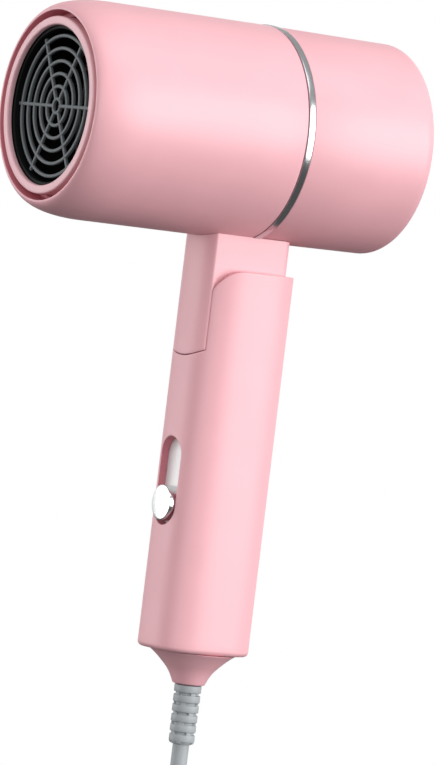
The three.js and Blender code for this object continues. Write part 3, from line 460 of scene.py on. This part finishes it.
# The groove's walls face each other, as the slot's do, and their deeper pink is painted shade.
shade_painted_pink_abs = finish_of("satin_pink_abs_painted_shade", "#d27f8b", 0.5, {"IOR": 1.53}, grain=0.35, depth=0.004,
                     tint=0.02)
# Painted shade: the groove's faces between the lip and the groove's floor get the deeper pink.
refinish(barrel_front, shade_painted_pink_abs, lambda x, y, z: (x > LIP_X + 0.2) & (x < web_back + 0.2) & (
    np.hypot(y, z - BARREL_Z) < groove_r + 0.1))

rear_start = RING_X + RING_WIDE / 2 + GAP
REAR_EDGE, SPIGOT_X = 5.0, RING_X - 4.5         # the spigot slides into the front shell
mouth_x, mouth_r, spigot_r = REAR_X - 3.2, INTAKE_R + 0.4, INNER_R - 0.3
rear_outline = np.vstack([
    [[rear_start, BARREL_R - 0.3], [rear_start + 0.06, BARREL_R - 0.16]],
    [[rear_start + 0.2, BARREL_R - 0.1], [REAR_X / 2, BARREL_R - 0.3]],
    shoulder(REAR_X - REAR_EDGE, REAR_X, BARREL_R - 0.5, REAR_EDGE, 16),
    filleted([(REAR_X, mouth_r), (mouth_x, mouth_r), (mouth_x, 32.4), (REAR_X - 6, INNER_R - 0.7)],
             [0.8, 0.2, 0.2, 0.5], 5),
    [[rear_start + 3, INNER_R - 0.4], [rear_start + 2, INNER_R - 1.7], [SPIGOT_X, INNER_R - 1.7]],
    [[SPIGOT_X, spigot_r], [rear_start, spigot_r]],
])
make("barrel_rear", *turned(rear_outline, 200), satin_abs, "head", "pink_shell", ["rear_barrel"])

# ---- Metal ring ---------------------------------------------------------------------------------
# A narrow band of polished stainless steel, rolled and chamfered, that covers the shells' joint.

# Polished stainless steel: bright and mirror-like, with faint marks that run round the ring.
polished_steel = finish_of("polished_stainless_steel", "#c6c8ca", 0.17, {"Metallic": 1.0},
                           grain=0.8, depth=0.003, tint=0.03, streak=(6, 1, 1), wear=0.25)
RING_R, ring_low, ring_high = 37.75, RING_X - RING_WIDE / 2, RING_X + RING_WIDE / 2
make("metal_ring", *turned(filleted([(ring_low, RING_R), (ring_high, RING_R), (ring_high, INNER_R),
                                     (ring_low, INNER_R)], [0.3, 0.3, 0.1, 0.1]), 200),
     polished_steel, "head", "polished_metal", ["trim_ring"])

# ---- Outlet ring and grille ---------------------------------------------------------------------
# A pale pink ring stands in the front groove, with a black heat-proof frame inside it. The grille
# is welded steel wire in grey enamel: six rings at equal steps on six spokes, open at the hub.

pale_abs = finish_of("satin_pale_pink_abs", "#efbcc3", 0.42, {"IOR": 1.53}, grain=0.35,
                     depth=0.004, tint=0.012)
FRAME_X, GRILLE_X = LIP_X + 1.7, LIP_X + 3.3
collar_back, collar_r, rebate_r = LIP_X + 13, OUTLET_R + 3, OUTLET_R + 1.5
make("outlet_collar", *turned(filleted(
    [(LIP_X, OUTLET_R), (LIP_X, collar_r), (collar_back, collar_r), (collar_back, rebate_r),
     (FRAME_X, rebate_r), (FRAME_X, OUTLET_R)], [0.7, 0.7, 0.3, 0.2, 0.1, 0.2]), 160),
    pale_abs, "head", "pink_trim", ["outlet_ring"])

# Glass-filled nylon: near black, with a dull, slightly rough skin.
black_nylon = finish_of("black_filled_nylon", "#0b0d0e", 0.6,
                        {"IOR": 1.5, "Specular IOR Level": 0.15}, grain=0.6, depth=0.02)
frame_front, frame_back, FRAME_IN, FRAME_OUT = FRAME_X + GAP, FRAME_X + 9, 26.2, 28.6
make("outlet_frame", *turned(filleted(
    [(frame_front, FRAME_IN), (frame_front, FRAME_OUT), (frame_back, FRAME_OUT),
     (frame_back, FRAME_IN)], 0.35), 128), black_nylon, "head", "black_plastic", ["grille_frame"])


def hoop(x, r, wide, thick, sides=96):
    """A ring of rounded rectangular section, whose front face is at x."""
    low, high, back = r - wide / 2, r + wide / 2, x + thick
    return turned(filleted([(x, low), (x, high), (back, high), (back, low)], 0.3 * thick, 4), sides)


def bar(x, start, end, wide, thick, angle):
    """A straight bar of rounded section across the axis, between two radii, at an angle."""
    half, back, middle = wide / 2, x + thick, x + thick / 2
    section = filleted([(x, -half), (x, half), (back, half), (back, -half)], 0.3 * thick, 4)
    size = np.array([0, 1, 1, 0])[:, None]
    along = middle + (section[None, :, 0] - middle) * size
    across = section[None, :, 1] * size
    out = np.repeat([[start], [start], [end], [end]], len(section), 1)
    y = out * np.cos(angle) - across * np.sin(angle)
    z = out * np.sin(angle) + across * np.cos(angle)
    return np.stack([along, y, z + BARREL_Z], -1).reshape(-1, 3), grid_faces(4, len(section))


def gathered(parts):
    """Several pairs of points and faces as one pair."""
    start = np.cumsum([0] + [len(points) for points, _ in parts[:-1]])
    faces = [face for (_, own), first in zip(parts, start) for face in (own + first).tolist()]
    return np.vstack([points for points, _ in parts]), faces


STRAND, FIRST_RING, RING_STEP, SPOKE_START, SPOKE_END = 1.2, 2.4, 4.32, 2.1, 25.8
grille_parts = [hoop(GRILLE_X, FIRST_RING + RING_STEP * i, STRAND, STRAND) for i in range(6)]
grille_parts += [bar(GRILLE_X + 0.05, SPOKE_START, SPOKE_END, STRAND, STRAND - 0.1, np.pi / 3 * i)
                 for i in range(6)]
# Grey enamel on steel: even, slightly glossy.
grey_enamel = finish_of("grey_enamel_on_steel", "#606568", 0.5,
                        {"IOR": 1.5, "Specular IOR Level": 0.3}, grain=0.8, depth=0.01)
make("outlet_wires", *gathered(grille_parts), grey_enamel, "head", "grey_wire", ["outlet_grille"])

# ---- Intake grille and filter -------------------------------------------------------------------
# The rear opening is closed by a moulded grille of the shell's own plastic, four rings on eight
# spokes, and behind it lies a woven steel gauze that keeps hair and lint out of the fan.

INTAKE_X, FIRST_HOOP, HOOP_STEP, RAIL_START = REAR_X - 2.4, 4, 6.4, 3.6
RAIL_WIDE, HOOP_THICK, RAIL_THICK = 1.8, 1.4, 1.3
intake_parts = [hoop(INTAKE_X, FIRST_HOOP + HOOP_STEP * i, RAIL_WIDE, HOOP_THICK) for i in range(4)]
intake_parts += [bar(INTAKE_X + 0.05, RAIL_START, INTAKE_R, RAIL_WIDE, RAIL_THICK, np.pi / 4 * i)
                 for i in range(8)]
make("intake_grille", *gathered(intake_parts), pale_abs, "head", "pink_trim", ["rear_grille"])

GAUZE_X, GAUZE_R, WIRE_STEP, WIRE_R = REAR_X - 3.9, 30.9, 2.1, 0.28


def wire(line, sides=5):
    """A thin tube along a nearly straight line across the axis: its spokes use the axis itself."""
    along = line[-1] - line[0]
    along = along / np.linalg.norm(along)
    first = np.array([1.0, 0, 0])
    second = np.cross(along, first)
    a = np.linspace(0, 2 * np.pi, sides, endpoint=False)[None, :, None]
    rings = line[:, None] + WIRE_R * (np.cos(a) * first + np.sin(a) * second)
    ends = np.repeat(line[[0, -1]][:, None], sides, axis=1)
    points = np.concatenate([ends[:1], rings, ends[1:]]).reshape(-1, 3)
    return points, grid_faces(len(line) + 2, sides)


def gauze():
    """Two families of wires; each rises and falls by a cosine wave over and under the other."""
    woven = []
    for k, off in enumerate(np.arange(-14, 15) * WIRE_STEP):
        half = np.sqrt(GAUZE_R ** 2 - off ** 2)
        t = np.linspace(-half, half, int(half * 2 / WIRE_STEP * 3) + 2)
        lift = 0.9 * WIRE_R * np.cos(np.pi * t / WIRE_STEP) * (1 if k % 2 else -1)
        flat = np.full_like(t, off)
        woven.append(wire(np.column_stack([GAUZE_X + lift, t, BARREL_Z + flat])))
        woven.append(wire(np.column_stack([GAUZE_X - lift, flat, BARREL_Z + t])))
    return woven


rim_front, rim_back, RIM_IN, RIM_OUT = REAR_X - 4.2, REAR_X - 3.6, 30.2, 31.4
gauze_rim = turned(filleted([(rim_front, RIM_IN), (rim_front, RIM_OUT), (rim_back, RIM_OUT),
                             (rim_back, RIM_IN)], 0.15, 4), 96)
dark_steel = finish_of("blackened_steel_gauze", "#34373a", 0.6, {"Metallic": 0.3}, grain=0.5,
                       depth=0.01)
make("intake_gauze", *gathered([*gauze(), gauze_rim]), dark_steel, "head", "black_plastic",
     ["intake_filter"])

# ---- Neck arm -----------------------------------------------------------------------------------
# One moulded arm carries the barrel. Its front follows the grip's oval, its sides are flat where
# they pass between the ears, its back is rounded, and its foot turns inside the grip.

GRIP_A, GRIP_B, GRIP_N = 18.8, 15.2, 2.8
HINGE_X, HINGE_Z = -2.0, BARREL_Z - 61.6
ARM_HALF, ARM_BACK, ARM_CORNER = 10.4, 14.2, 3.0
SEAM_R, SEAM_Z = 23.3, BARREL_Z - 78.8
HEEL_EDGE, HEEL_SLOPE = 2.2, 1.1                # the heel's sides are bevelled this wide


def oval_front(y):
    """X of the oval's front line."""
    return -GRIP_A * (1 - (np.abs(y) / GRIP_B) ** GRIP_N) ** (1 / GRIP_N)


def seam(y):
    """Height of the seam's arc."""
    return SEAM_Z + SEAM_R - np.sqrt(SEAM_R ** 2 - y ** 2)


def arm_outline():
    """From above: the oval's front, two flat sides with small round edges, a rounded back."""
    y = np.linspace(ARM_HALF - 0.15, 0.15 - ARM_HALF, 41)
    front = np.column_stack([oval_front(y), y])
    edge = np.column_stack([oval_front(ARM_HALF) + np.array([0.02, 0.2, 0.5, 2, 6, 12, 20]),
                            np.full(7, -ARM_HALF) + np.array([0.07, 0.015, 0, 0, 0, 0, 0])])
    a = np.linspace(-np.pi / 2, 0, 14)
    back = np.column_stack([ARM_BACK - ARM_CORNER + ARM_CORNER * np.cos(a),
                            ARM_CORNER - ARM_HALF + ARM_CORNER * np.sin(a)])
    half = np.vstack([edge, back, [[ARM_BACK, -1.5], [ARM_BACK, 0]]])
    return np.vstack([front, half, (half * (1, -1))[-2::-1]])


def arm_under(x, y):
    """Height of the foot's underside: the seam's arc, and a round heel behind the fold axis."""
    bevel = np.maximum(np.abs(y) - ARM_HALF + HEEL_EDGE, 0) / HEEL_SLOPE
    heel_r = ARM_BACK - HINGE_X - bevel
    heel = HINGE_Z - np.sqrt(np.maximum(heel_r ** 2 - (x - HINGE_X) ** 2, 0))
    return np.where(x > HINGE_X, np.maximum(heel, seam(y)), seam(y))


def arm_top(x, y):
    """The saddle against the barrel, a hair inside its skin, and under the metal ring."""
    return BARREL_Z - np.sqrt((BARREL_R + 0.05) ** 2 - y ** 2)


def arm_surface():
    """Scaled copies of the outline: out over the underside, up the wall, and in over the top."""
    line, middle = arm_outline(), np.array([-1.5, 0.0])
    under_size, rim_size, rim_rise = 0.985, 0.995, 0.12
    rings = []
    for scale in [*under_size * np.sin(np.linspace(0, np.pi / 2, 26)), rim_size]:
        p = middle + (line - middle) * scale
        rings.append(np.column_stack([p, arm_under(*p.T)]))
    low, high = rings[-1][:, 2] + rim_rise, arm_top(*line.T)
    for part in (0.006, 0.03, 0.1, 0.3, 0.5, 0.7, 0.9, 1.0):
        rings.append(np.column_stack([line, low + (high - low) * part]))
    for scale in (0.9, 0.6, 0.3, 0.0):
        p = middle + (line - middle) * scale
        rings.append(np.column_stack([p, arm_top(*p.T)]))
    return np.vstack(rings), grid_faces(len(rings), len(line))


make("neck", *arm_surface(), satin_abs, "head", "pink_shell", ["neck_arm"], smooth=30)

# ---- Grip ---------------------------------------------------------------------------------------
# One moulded oval sleeve, 2 mm thick. Its front is open between two ears with rounded corners, a
# sloping sill closes the opening below, and a round-ended slot is cut for the switch.

WALL, EAR_IN, EAR_TOP, GRIP_BOTTOM = 2.0, 10.7, BARREL_Z - 48.2, BARREL_Z - 181
EAR_FILLET, EAR_BEND = 11.4, -5.2
SLOT_TOP, SLOT_BOTTOM, SLOT_HALF = BARREL_Z - 107.4, BARREL_Z - 138.2, 6.5
CUT_EDGE, BOTTOM_EDGE = 0.35, 1.7
PLATE_X, SLOT_LIP = -15.0, (0.8, 1.3)           # a lip reaches in from the slot to this plate
# Going up, the inside narrows to the ears between the first two heights, and the ears' inner sides
# become flat between the next two. The sill falls by this much inwards, over this height.
NARROWING, FLAT_EAR = (27.4, 28.6), (36.5, 38.2)
SILL_DROP, SILL_REACH = 2.3, 6

QUARTER = 2000                                  # steps of the table in a quarter of the oval
table_angle = np.linspace(0, 2 * np.pi, 4 * QUARTER + 1)
table_x = GRIP_A * np.sign(np.cos(table_angle)) * np.abs(np.cos(table_angle)) ** (2 / GRIP_N)
table_y = GRIP_B * np.sign(np.sin(table_angle)) * np.abs(np.sin(table_angle)) ** (2 / GRIP_N)
table_s = np.concatenate([[0], np.cumsum(np.hypot(np.diff(table_x), np.diff(table_y)))])
ROUND = table_s[-1]                             # the oval's girth; s = 0 is the middle of its back


def girth_at_x(x):
    """Distance round the oval to a point of its near half."""
    near = slice(0, 2 * QUARTER + 1)
    return np.interp(-np.asarray(x), -table_x[near], table_s[near])


def girth_at_y(y):
    """Distance round the oval to a point of its front half."""
    front = slice(QUARTER, 3 * QUARTER + 1)
    return np.interp(-np.asarray(y), -table_y[front], table_s[front])


def opening():
    """The sleeve's top edge, unrolled, from the back round the near ear to the front's middle."""
    back = np.linspace(0, girth_at_x(EAR_BEND), 40)[:-1]
    back = np.column_stack([back, np.full_like(back, EAR_TOP)])
    end = np.arccos((oval_front(EAR_IN) - EAR_BEND) / EAR_FILLET)
    a = np.linspace(np.pi / 2, end, 26)
    ear = np.column_stack([girth_at_x(EAR_BEND + EAR_FILLET * np.cos(a)),
                           EAR_TOP - EAR_FILLET + EAR_FILLET * np.sin(a)])
    y = np.linspace(EAR_IN, 0, 19)
    sill = np.column_stack([girth_at_y(y), seam(y) - GAP])
    down = np.linspace(ear[-1, 1], sill[0, 1], 22)[1:-1]
    down = np.column_stack([np.full_like(down, sill[0, 0]), down])
    half = np.vstack([back, ear, down, sill])
    return np.vstack([half, half[-2::-1] * (-1, 1) + (ROUND, 0)])


slot_high, slot_low = SLOT_TOP - SLOT_HALF, SLOT_BOTTOM + SLOT_HALF


def slot_outline():
    """A slot with round ends, unrolled."""
    a = np.linspace(0, np.pi, 26)[:-1]
    down = np.linspace(slot_high, slot_low, 16)[:-1]
    up = down[::-1] + (slot_low - down[-1])
    edge = np.full_like(down, SLOT_HALF)
    across, rise = SLOT_HALF * np.cos(a), SLOT_HALF * np.sin(a)
    y = np.concatenate([across, -edge, -across, edge])
    z = np.concatenate([slot_high + rise, down, slot_low - rise, up])
    return np.column_stack([girth_at_y(y), z])[::-1]


def from_slot(y, z):
    """Distance from the straight line between the centres of the slot's round ends."""
    return np.hypot(y, z - np.clip(z, slot_low, slot_high))


def square_to(v):
    """Each vector of the list turned a quarter turn clockwise, with length one."""
    return np.column_stack([v[:, 1], -v[:, 0]]) / np.linalg.norm(v, axis=1)[:, None]


def moved_in(line, by, closed):
    """The line moved square to itself, away from the opening on its left, with mitred corners."""
    ahead = np.roll(line, -1, 0) - line
    behind = line - np.roll(line, 1, 0)
    if not closed:
        ahead[-1] = behind[-1] = behind[0] = ahead[0] = (1, 0)
    one, two = square_to(ahead), square_to(behind)
    return line + by * (one + two) / (1 + (one * two).sum(1))[:, None]


def unrolled_wall():
    """The wall as (distance round, height), the depth of each point and the triangles.

    Rings close to each cut carry its quarter circle: at the angle b they have moved in by
    1 - cos b and lie 1 - sin b deep. A plain grid fills the rest, clear of the rings, and all of it
    is triangulated with the rings as fixed lines.
    """
    top, slot = opening(), slot_outline()
    columns = np.linspace(0, ROUND, 113)
    bends, low_bends = np.linspace(0, np.pi / 2, 6), np.linspace(0.02, np.pi / 2, 8)
    rings = [(moved_in(cut, CUT_EDGE * (1 - np.cos(b)), closed), CUT_EDGE * (1 - np.sin(b)), closed)
             for cut, closed in ((top, False), (slot, True)) for b in bends]
    rings += [(moved_in(slot, by, True), 0.0, True) for by in SLOT_LIP]
    for b in low_bends:
        z = np.full_like(columns, GRIP_BOTTOM + BOTTOM_EDGE * (1 - np.cos(b)))
        rings.append((np.column_stack([columns, z]), BOTTOM_EDGE * (1 - np.sin(b)), False))
    levels = np.concatenate([np.linspace(GRIP_BOTTOM + BOTTOM_EDGE + 2, 26, 28), NARROWING, [30],
                             np.linspace(32.5, EAR_TOP - 1.2, 15)])
    clear_top, clear_slot = 0.75, SLOT_HALF + SLOT_LIP[-1] + 0.6
    s, z = (v.ravel() for v in np.meshgrid(columns, levels))
    free = np.min(np.hypot(s[:, None] - top[:, 0], z[:, None] - top[:, 1]), axis=1) > clear_top
    over = np.interp(s, top[:, 0], top[:, 1]) < z
    in_slot = from_slot(np.interp(s, table_s, table_y), z) < clear_slot
    keep = free & ~over & ~(in_slot & (np.abs(s - ROUND / 2) < ROUND / 4))
    grid = np.column_stack([s, z])[keep]
    flat = np.vstack([ring for ring, _, _ in rings] + [grid])
    depth = [np.full(len(ring), deep) for ring, deep, _ in rings] + [np.zeros(len(grid))]
    lines, start = [], 0
    for ring, _, closed in rings:
        ids = start + np.arange(len(ring))
        pairs = list(zip(ids.tolist(), np.roll(ids, -1).tolist()))
        lines += pairs if closed else pairs[:-1]
        start += len(ring)
    found = delaunay_2d_cdt([Vector(p) for p in flat.tolist()], lines, [], 0, 1e-6)
    faces = np.array([ids[0] for ids in found[3]])[np.array(found[2])]
    slot_start = len(bends) * len(top)
    in_slot = (faces >= slot_start) & (faces < slot_start + len(slot))
    cut_out = (faces < len(top)).all(1) | in_slot.all(1)
    return flat, np.concatenate(depth), faces[~cut_out]


def grip_surface():
    """The unrolled wall rolled round the oval, once on its outside and once on its inside.

    A point goes in by its depth, or by the wall's thickness, along the oval's normal. Inside, the
    ears end in flat cheeks, the sill slopes down and the slot's lip goes in to the switch plate.
    """
    flat, depth, faces = unrolled_wall()
    s, z = flat.T
    x, y = np.interp(s, table_s, table_x), np.interp(s, table_s, table_y)
    lean_x = np.sign(x) * np.abs(x / GRIP_A) ** (GRIP_N - 1) / GRIP_A
    lean_y = np.sign(y) * np.abs(y / GRIP_B) ** (GRIP_N - 1) / GRIP_B
    size = np.hypot(lean_x, lean_y)
    lean_x, lean_y = lean_x / size, lean_y / size
    outer = np.column_stack([x - depth * lean_x, y - depth * lean_y, z])
    in_x, in_y = x - WALL * lean_x, y - WALL * lean_y
    limit = np.interp(z, NARROWING, (GRIP_B, EAR_IN))
    in_y = np.clip(in_y, -limit, limit)
    cheek = np.interp(z, FLAT_EAR, (0, 1)) * ((np.abs(y) >= EAR_IN - 0.01) & (x < 0))
    in_y = in_y * (1 - cheek) + np.sign(y) * EAR_IN * cheek
    lip = (from_slot(y, z) < SLOT_HALF + SLOT_LIP[0] + 0.1) & (x < 0)
    in_x, in_y = np.where(lip, PLATE_X - GAP, in_x), np.where(lip, y, in_y)
    front = (np.abs(y) < EAR_IN - 0.01) & (x < 0)
    sill_z = seam(np.clip(y, -EAR_IN, EAR_IN)) - GAP
    near_sill = np.clip(1 - (sill_z - z) / SILL_REACH, 0, 1)
    inner = np.column_stack([in_x, in_y, z - SILL_DROP * near_sill * front])
    pairs = np.sort(np.vstack([faces[:, [0, 1]], faces[:, [1, 2]], faces[:, [2, 0]]]), axis=1)
    rim, used = np.unique(pairs, axis=0, return_counts=True)
    rim = rim[used == 1]
    at_back = (s[rim] < 1e-6).all(1) | (s[rim] > ROUND - 1e-6).all(1)
    rim, count = rim[~at_back], len(flat)
    quads = np.column_stack([rim[:, 0], rim[:, 1], rim[:, 1] + count, rim[:, 0] + count])
    every = faces.tolist() + (faces[:, ::-1] + count).tolist() + quads.tolist()
    return np.vstack([outer, inner]), every


grip = make("grip", *grip_surface(), satin_abs, "handle", "pink_shell", ["grip_shell"])
# Painted shade: the slot's side walls get the deeper pink.
refinish(grip, shade_painted_pink_abs, lambda x, y, z: (x < PLATE_X) & (x > -GRIP_A + 0.4) & (
    from_slot(y, z) < SLOT_HALF + 0.05))

# ---- Switch -------------------------------------------------------------------------------------
# A round button with a chromed rim and a white face, here made all of chrome, slides up the slot
# in three steps. It sits on a long white plate that closes the slot from behind at every position
# and works the switch.

KNOB_R, KNOB_Z, TRAVEL = 6.2, BARREL_Z - 130.6, 15.0
KNOB_FACE = -GRIP_A - 1.5
# Chrome-plated ABS mirrors the room almost sharply; the gloss white ABS behind it is plain.
chrome = finish_of("chrome_plated_abs", "#dcdedf", 0.16, {"Metallic": 1.0}, grain=0.6, depth=0.002,
                   tint=0.02)
white_abs = finish_of("gloss_white_abs", "#fdfdfd", 0.28, {"IOR": 1.53}, grain=0.4, depth=0.003,
                      tint=0.01)
crown = np.linspace(KNOB_R - 0.7, 0, 14)
button_outline = np.vstack([
    [[PLATE_X - 0.3, 0], [PLATE_X - 0.3, KNOB_R - 0.2], [PLATE_X - 0.5, KNOB_R], [-18.5, KNOB_R],
     [KNOB_FACE + 0.75, KNOB_R], [KNOB_FACE + 0.45, KNOB_R - 0.06],
     [KNOB_FACE + 0.3, KNOB_R - 0.3]],
    np.column_stack([KNOB_FACE + 0.25 * (crown / crown[0]) ** 2, crown])])
make("switch_button", *turned(button_outline, 96, (0, 0, KNOB_Z), closed=False), chrome, "slider",
     "polished_metal", ["switch_knob"])


def chamfered_block(low, high, edge=0.2):
    """The convex hull of a block's eight corners, each moved inwards along two axes at a time."""
    sign = np.array([(x, y, z) for x in (0, 1) for y in (0, 1) for z in (0, 1)])
    corner = np.where(sign, high, low)
    step = np.where(sign, -edge, edge)
    points = np.concatenate([corner + step * axes for axes in 1 - np.eye(3)])
    work = bmesh.new()
    for p in points:
        work.verts.new(p)
    bmesh.ops.convex_hull(work, input=work.verts)
    work.verts.index_update()
    faces = np.array([[v.index for v in f.verts] for f in work.faces])
    points = np.array([v.co for v in work.verts])
    work.free()
    return points, faces


PLATE_HALF, PLATE_LAP, PLATE_THICK = 7.6, 1.2, 1.1
STEM_HALF, STEM_RISE, STEM_END = 2, 1.8, -8
stem_z = KNOB_Z - 3
plate = chamfered_block((PLATE_X, -PLATE_HALF, SLOT_BOTTOM - TRAVEL - PLATE_LAP),
                        (PLATE_X + PLATE_THICK, PLATE_HALF, SLOT_TOP + PLATE_LAP))
stem = chamfered_block((PLATE_X + 0.5, -STEM_HALF, stem_z - STEM_RISE),
                       (STEM_END, STEM_HALF, stem_z + STEM_RISE))
make("switch_plate", *gathered([plate, stem]), white_abs, "slider", "pearl_plastic",
     ["slider_plate"], smooth=20)

# ---- End cap ------------------------------------------------------------------------------------
# The cap closes the grip's mouth from inside. Its underside flares into a trumpet round the strain
# relief, and two posts on its top take the screws of the cord clamp.

CAP_LOW, CAP_TOP = GRIP_BOTTOM + 0.6, GRIP_BOTTOM + 3.6
COLLAR_END = RELIEF_TOP + GAP
HOLE_R, POST_R, SCREW_R, POST_Y, POST_RISE = 3.4, 2.4, 1.0, 8.2, 6
# The underside down to the trumpet's tip: radius, and height over the grip's lower edge.
flare = np.array([
    (12.6, 0.5), (12.6, -0.2), (14.9, -0.2), (15.0, -0.28), (14.9, -0.4), (13.8, -1.2),
    (12.6, -2.2), (11.5, -3.2), (10.4, -4.3), (9.3, -5.4), (8.4, -6.4), (7.6, -7.5), (6.95, -8.6),
    (6.4, -9.7), (6.0, -10.6), (5.75, -11.15), (5.6, -11.4)])
# The plate's four rows follow the grip's oval, and all the others are circles.
plate_part = np.array([0.985, 1, 1, 0.985])
cap_x, cap_y = (np.concatenate([[HOLE_R] * 2, plate_part * half, flare[:, 0], [5.2, 3.6, HOLE_R]])
                for half in (GRIP_A - WALL - GAP, GRIP_B - WALL - GAP))
cap_z = np.concatenate([[COLLAR_END + 1, CAP_TOP, CAP_TOP, CAP_TOP - 0.3, CAP_LOW + 0.3, CAP_LOW],
                        GRIP_BOTTOM + flare[:, 1], [COLLAR_END, COLLAR_END, COLLAR_END + 0.3]])
cap_power = np.repeat([2.0, GRIP_N, 2.0], [2, 4, len(flare) + 3])
cap = (oval_rings(cap_x, cap_y, cap_z, cap_power, 96), grid_faces(len(cap_z), 96, close_count=True))
post_line = [(CAP_TOP - 0.2, 0), (CAP_TOP - 0.2, POST_R), (CAP_TOP + POST_RISE - 0.2, POST_R),
             (CAP_TOP + POST_RISE, POST_R - 0.2), (CAP_TOP + POST_RISE, SCREW_R),
             (CAP_TOP + 1.5, SCREW_R), (CAP_TOP + 1.5, 0)]
posts = [turned(post_line, 32, (0, y, 0), "z", False) for y in (-POST_Y, POST_Y)]
make("grip_end_cap", *gathered([cap, *posts]), satin_abs, "handle", "pink_shell", ["end_cap"])

# ---- Pieces inside ------------------------------------------------------------------------------
# Heater, fan unit, hinge, switch and clamp keep their own shapes. Each gets a surface: mica
# sheet painted near black as shade, drawn nichrome wire, plated steel, sintered ferrite, wound
# copper and moulded nylon.

# Painted shade: the mica is near black so that the heater inside the barrel reads as dark.
mica_painted_shade = finish_of("pressed_mica_painted_shade", "#14110f", 0.6,
                       {"IOR": 1.58, "Specular IOR Level": 0.15}, grain=1.5, depth=0.03, tint=0.12)
nichrome = finish_of("oxidised_nichrome_wire", "#3b3734", 0.6, {"Metallic": 0.6}, grain=0.4,
                     depth=0.01, tint=0.08)
plated_steel = finish_of("zinc_plated_steel", "#a9acb0", 0.38, {"Metallic": 1.0}, grain=0.8,
                         depth=0.01, tint=0.06)
ferrite = finish_of("sintered_ferrite", "#3a3b3d", 0.7, {"IOR": 2.0}, grain=0.5, depth=0.02,
                    tint=0.1)
copper = finish_of("enamelled_copper_wire", "#8d5a3c", 0.35, {"Metallic": 1.0}, grain=0.4,
                   depth=0.04, tint=0.1, streak=(0.3, 1, 1))
brass = finish_of("nickel_plated_brass", "#c9bd94", 0.26, {"Metallic": 1.0}, grain=0.7,
                  depth=0.006, tint=0.05)
red_silicone = finish_of("red_silicone_lead", "#a8322b", 0.55, {"IOR": 1.43}, grain=0.6,
                         depth=0.01, tint=0.05)
inside = {
    mica_painted_shade: ["heater_shield", "mica_board_upright", "mica_board_flat"],
    nichrome: ["heater_coil"],
    plated_steel: ["thermostat", "thermal_fuse", "motor_can", "motor_shaft", "hinge_pin",
                   "neck_screw_1", "neck_screw_2", "switch_screw_1", "switch_screw_2",
                   "clamp_screw_1", "clamp_screw_2"],
    ferrite: ["motor_magnet_upper", "motor_magnet_lower"],
    copper: ["armature"],
    brass: ["hinge_bush", "plug_pin_left", "plug_pin_right"],
    red_silicone: ["neck_lead_1", "neck_lead_2", "inner_lead_1", "inner_lead_2"],
    black_nylon: ["fan_duct", "motor_end_cap", "fan_impeller", "switch_guide", "switch_body",
                  "cord_clamp"],
    soft_pvc: ["cord_inner"],
}
for surface, names in inside.items():
    for name in names:
        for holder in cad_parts[name].material_slots:
            holder.material = surface

bpy.context.view_layer.update()
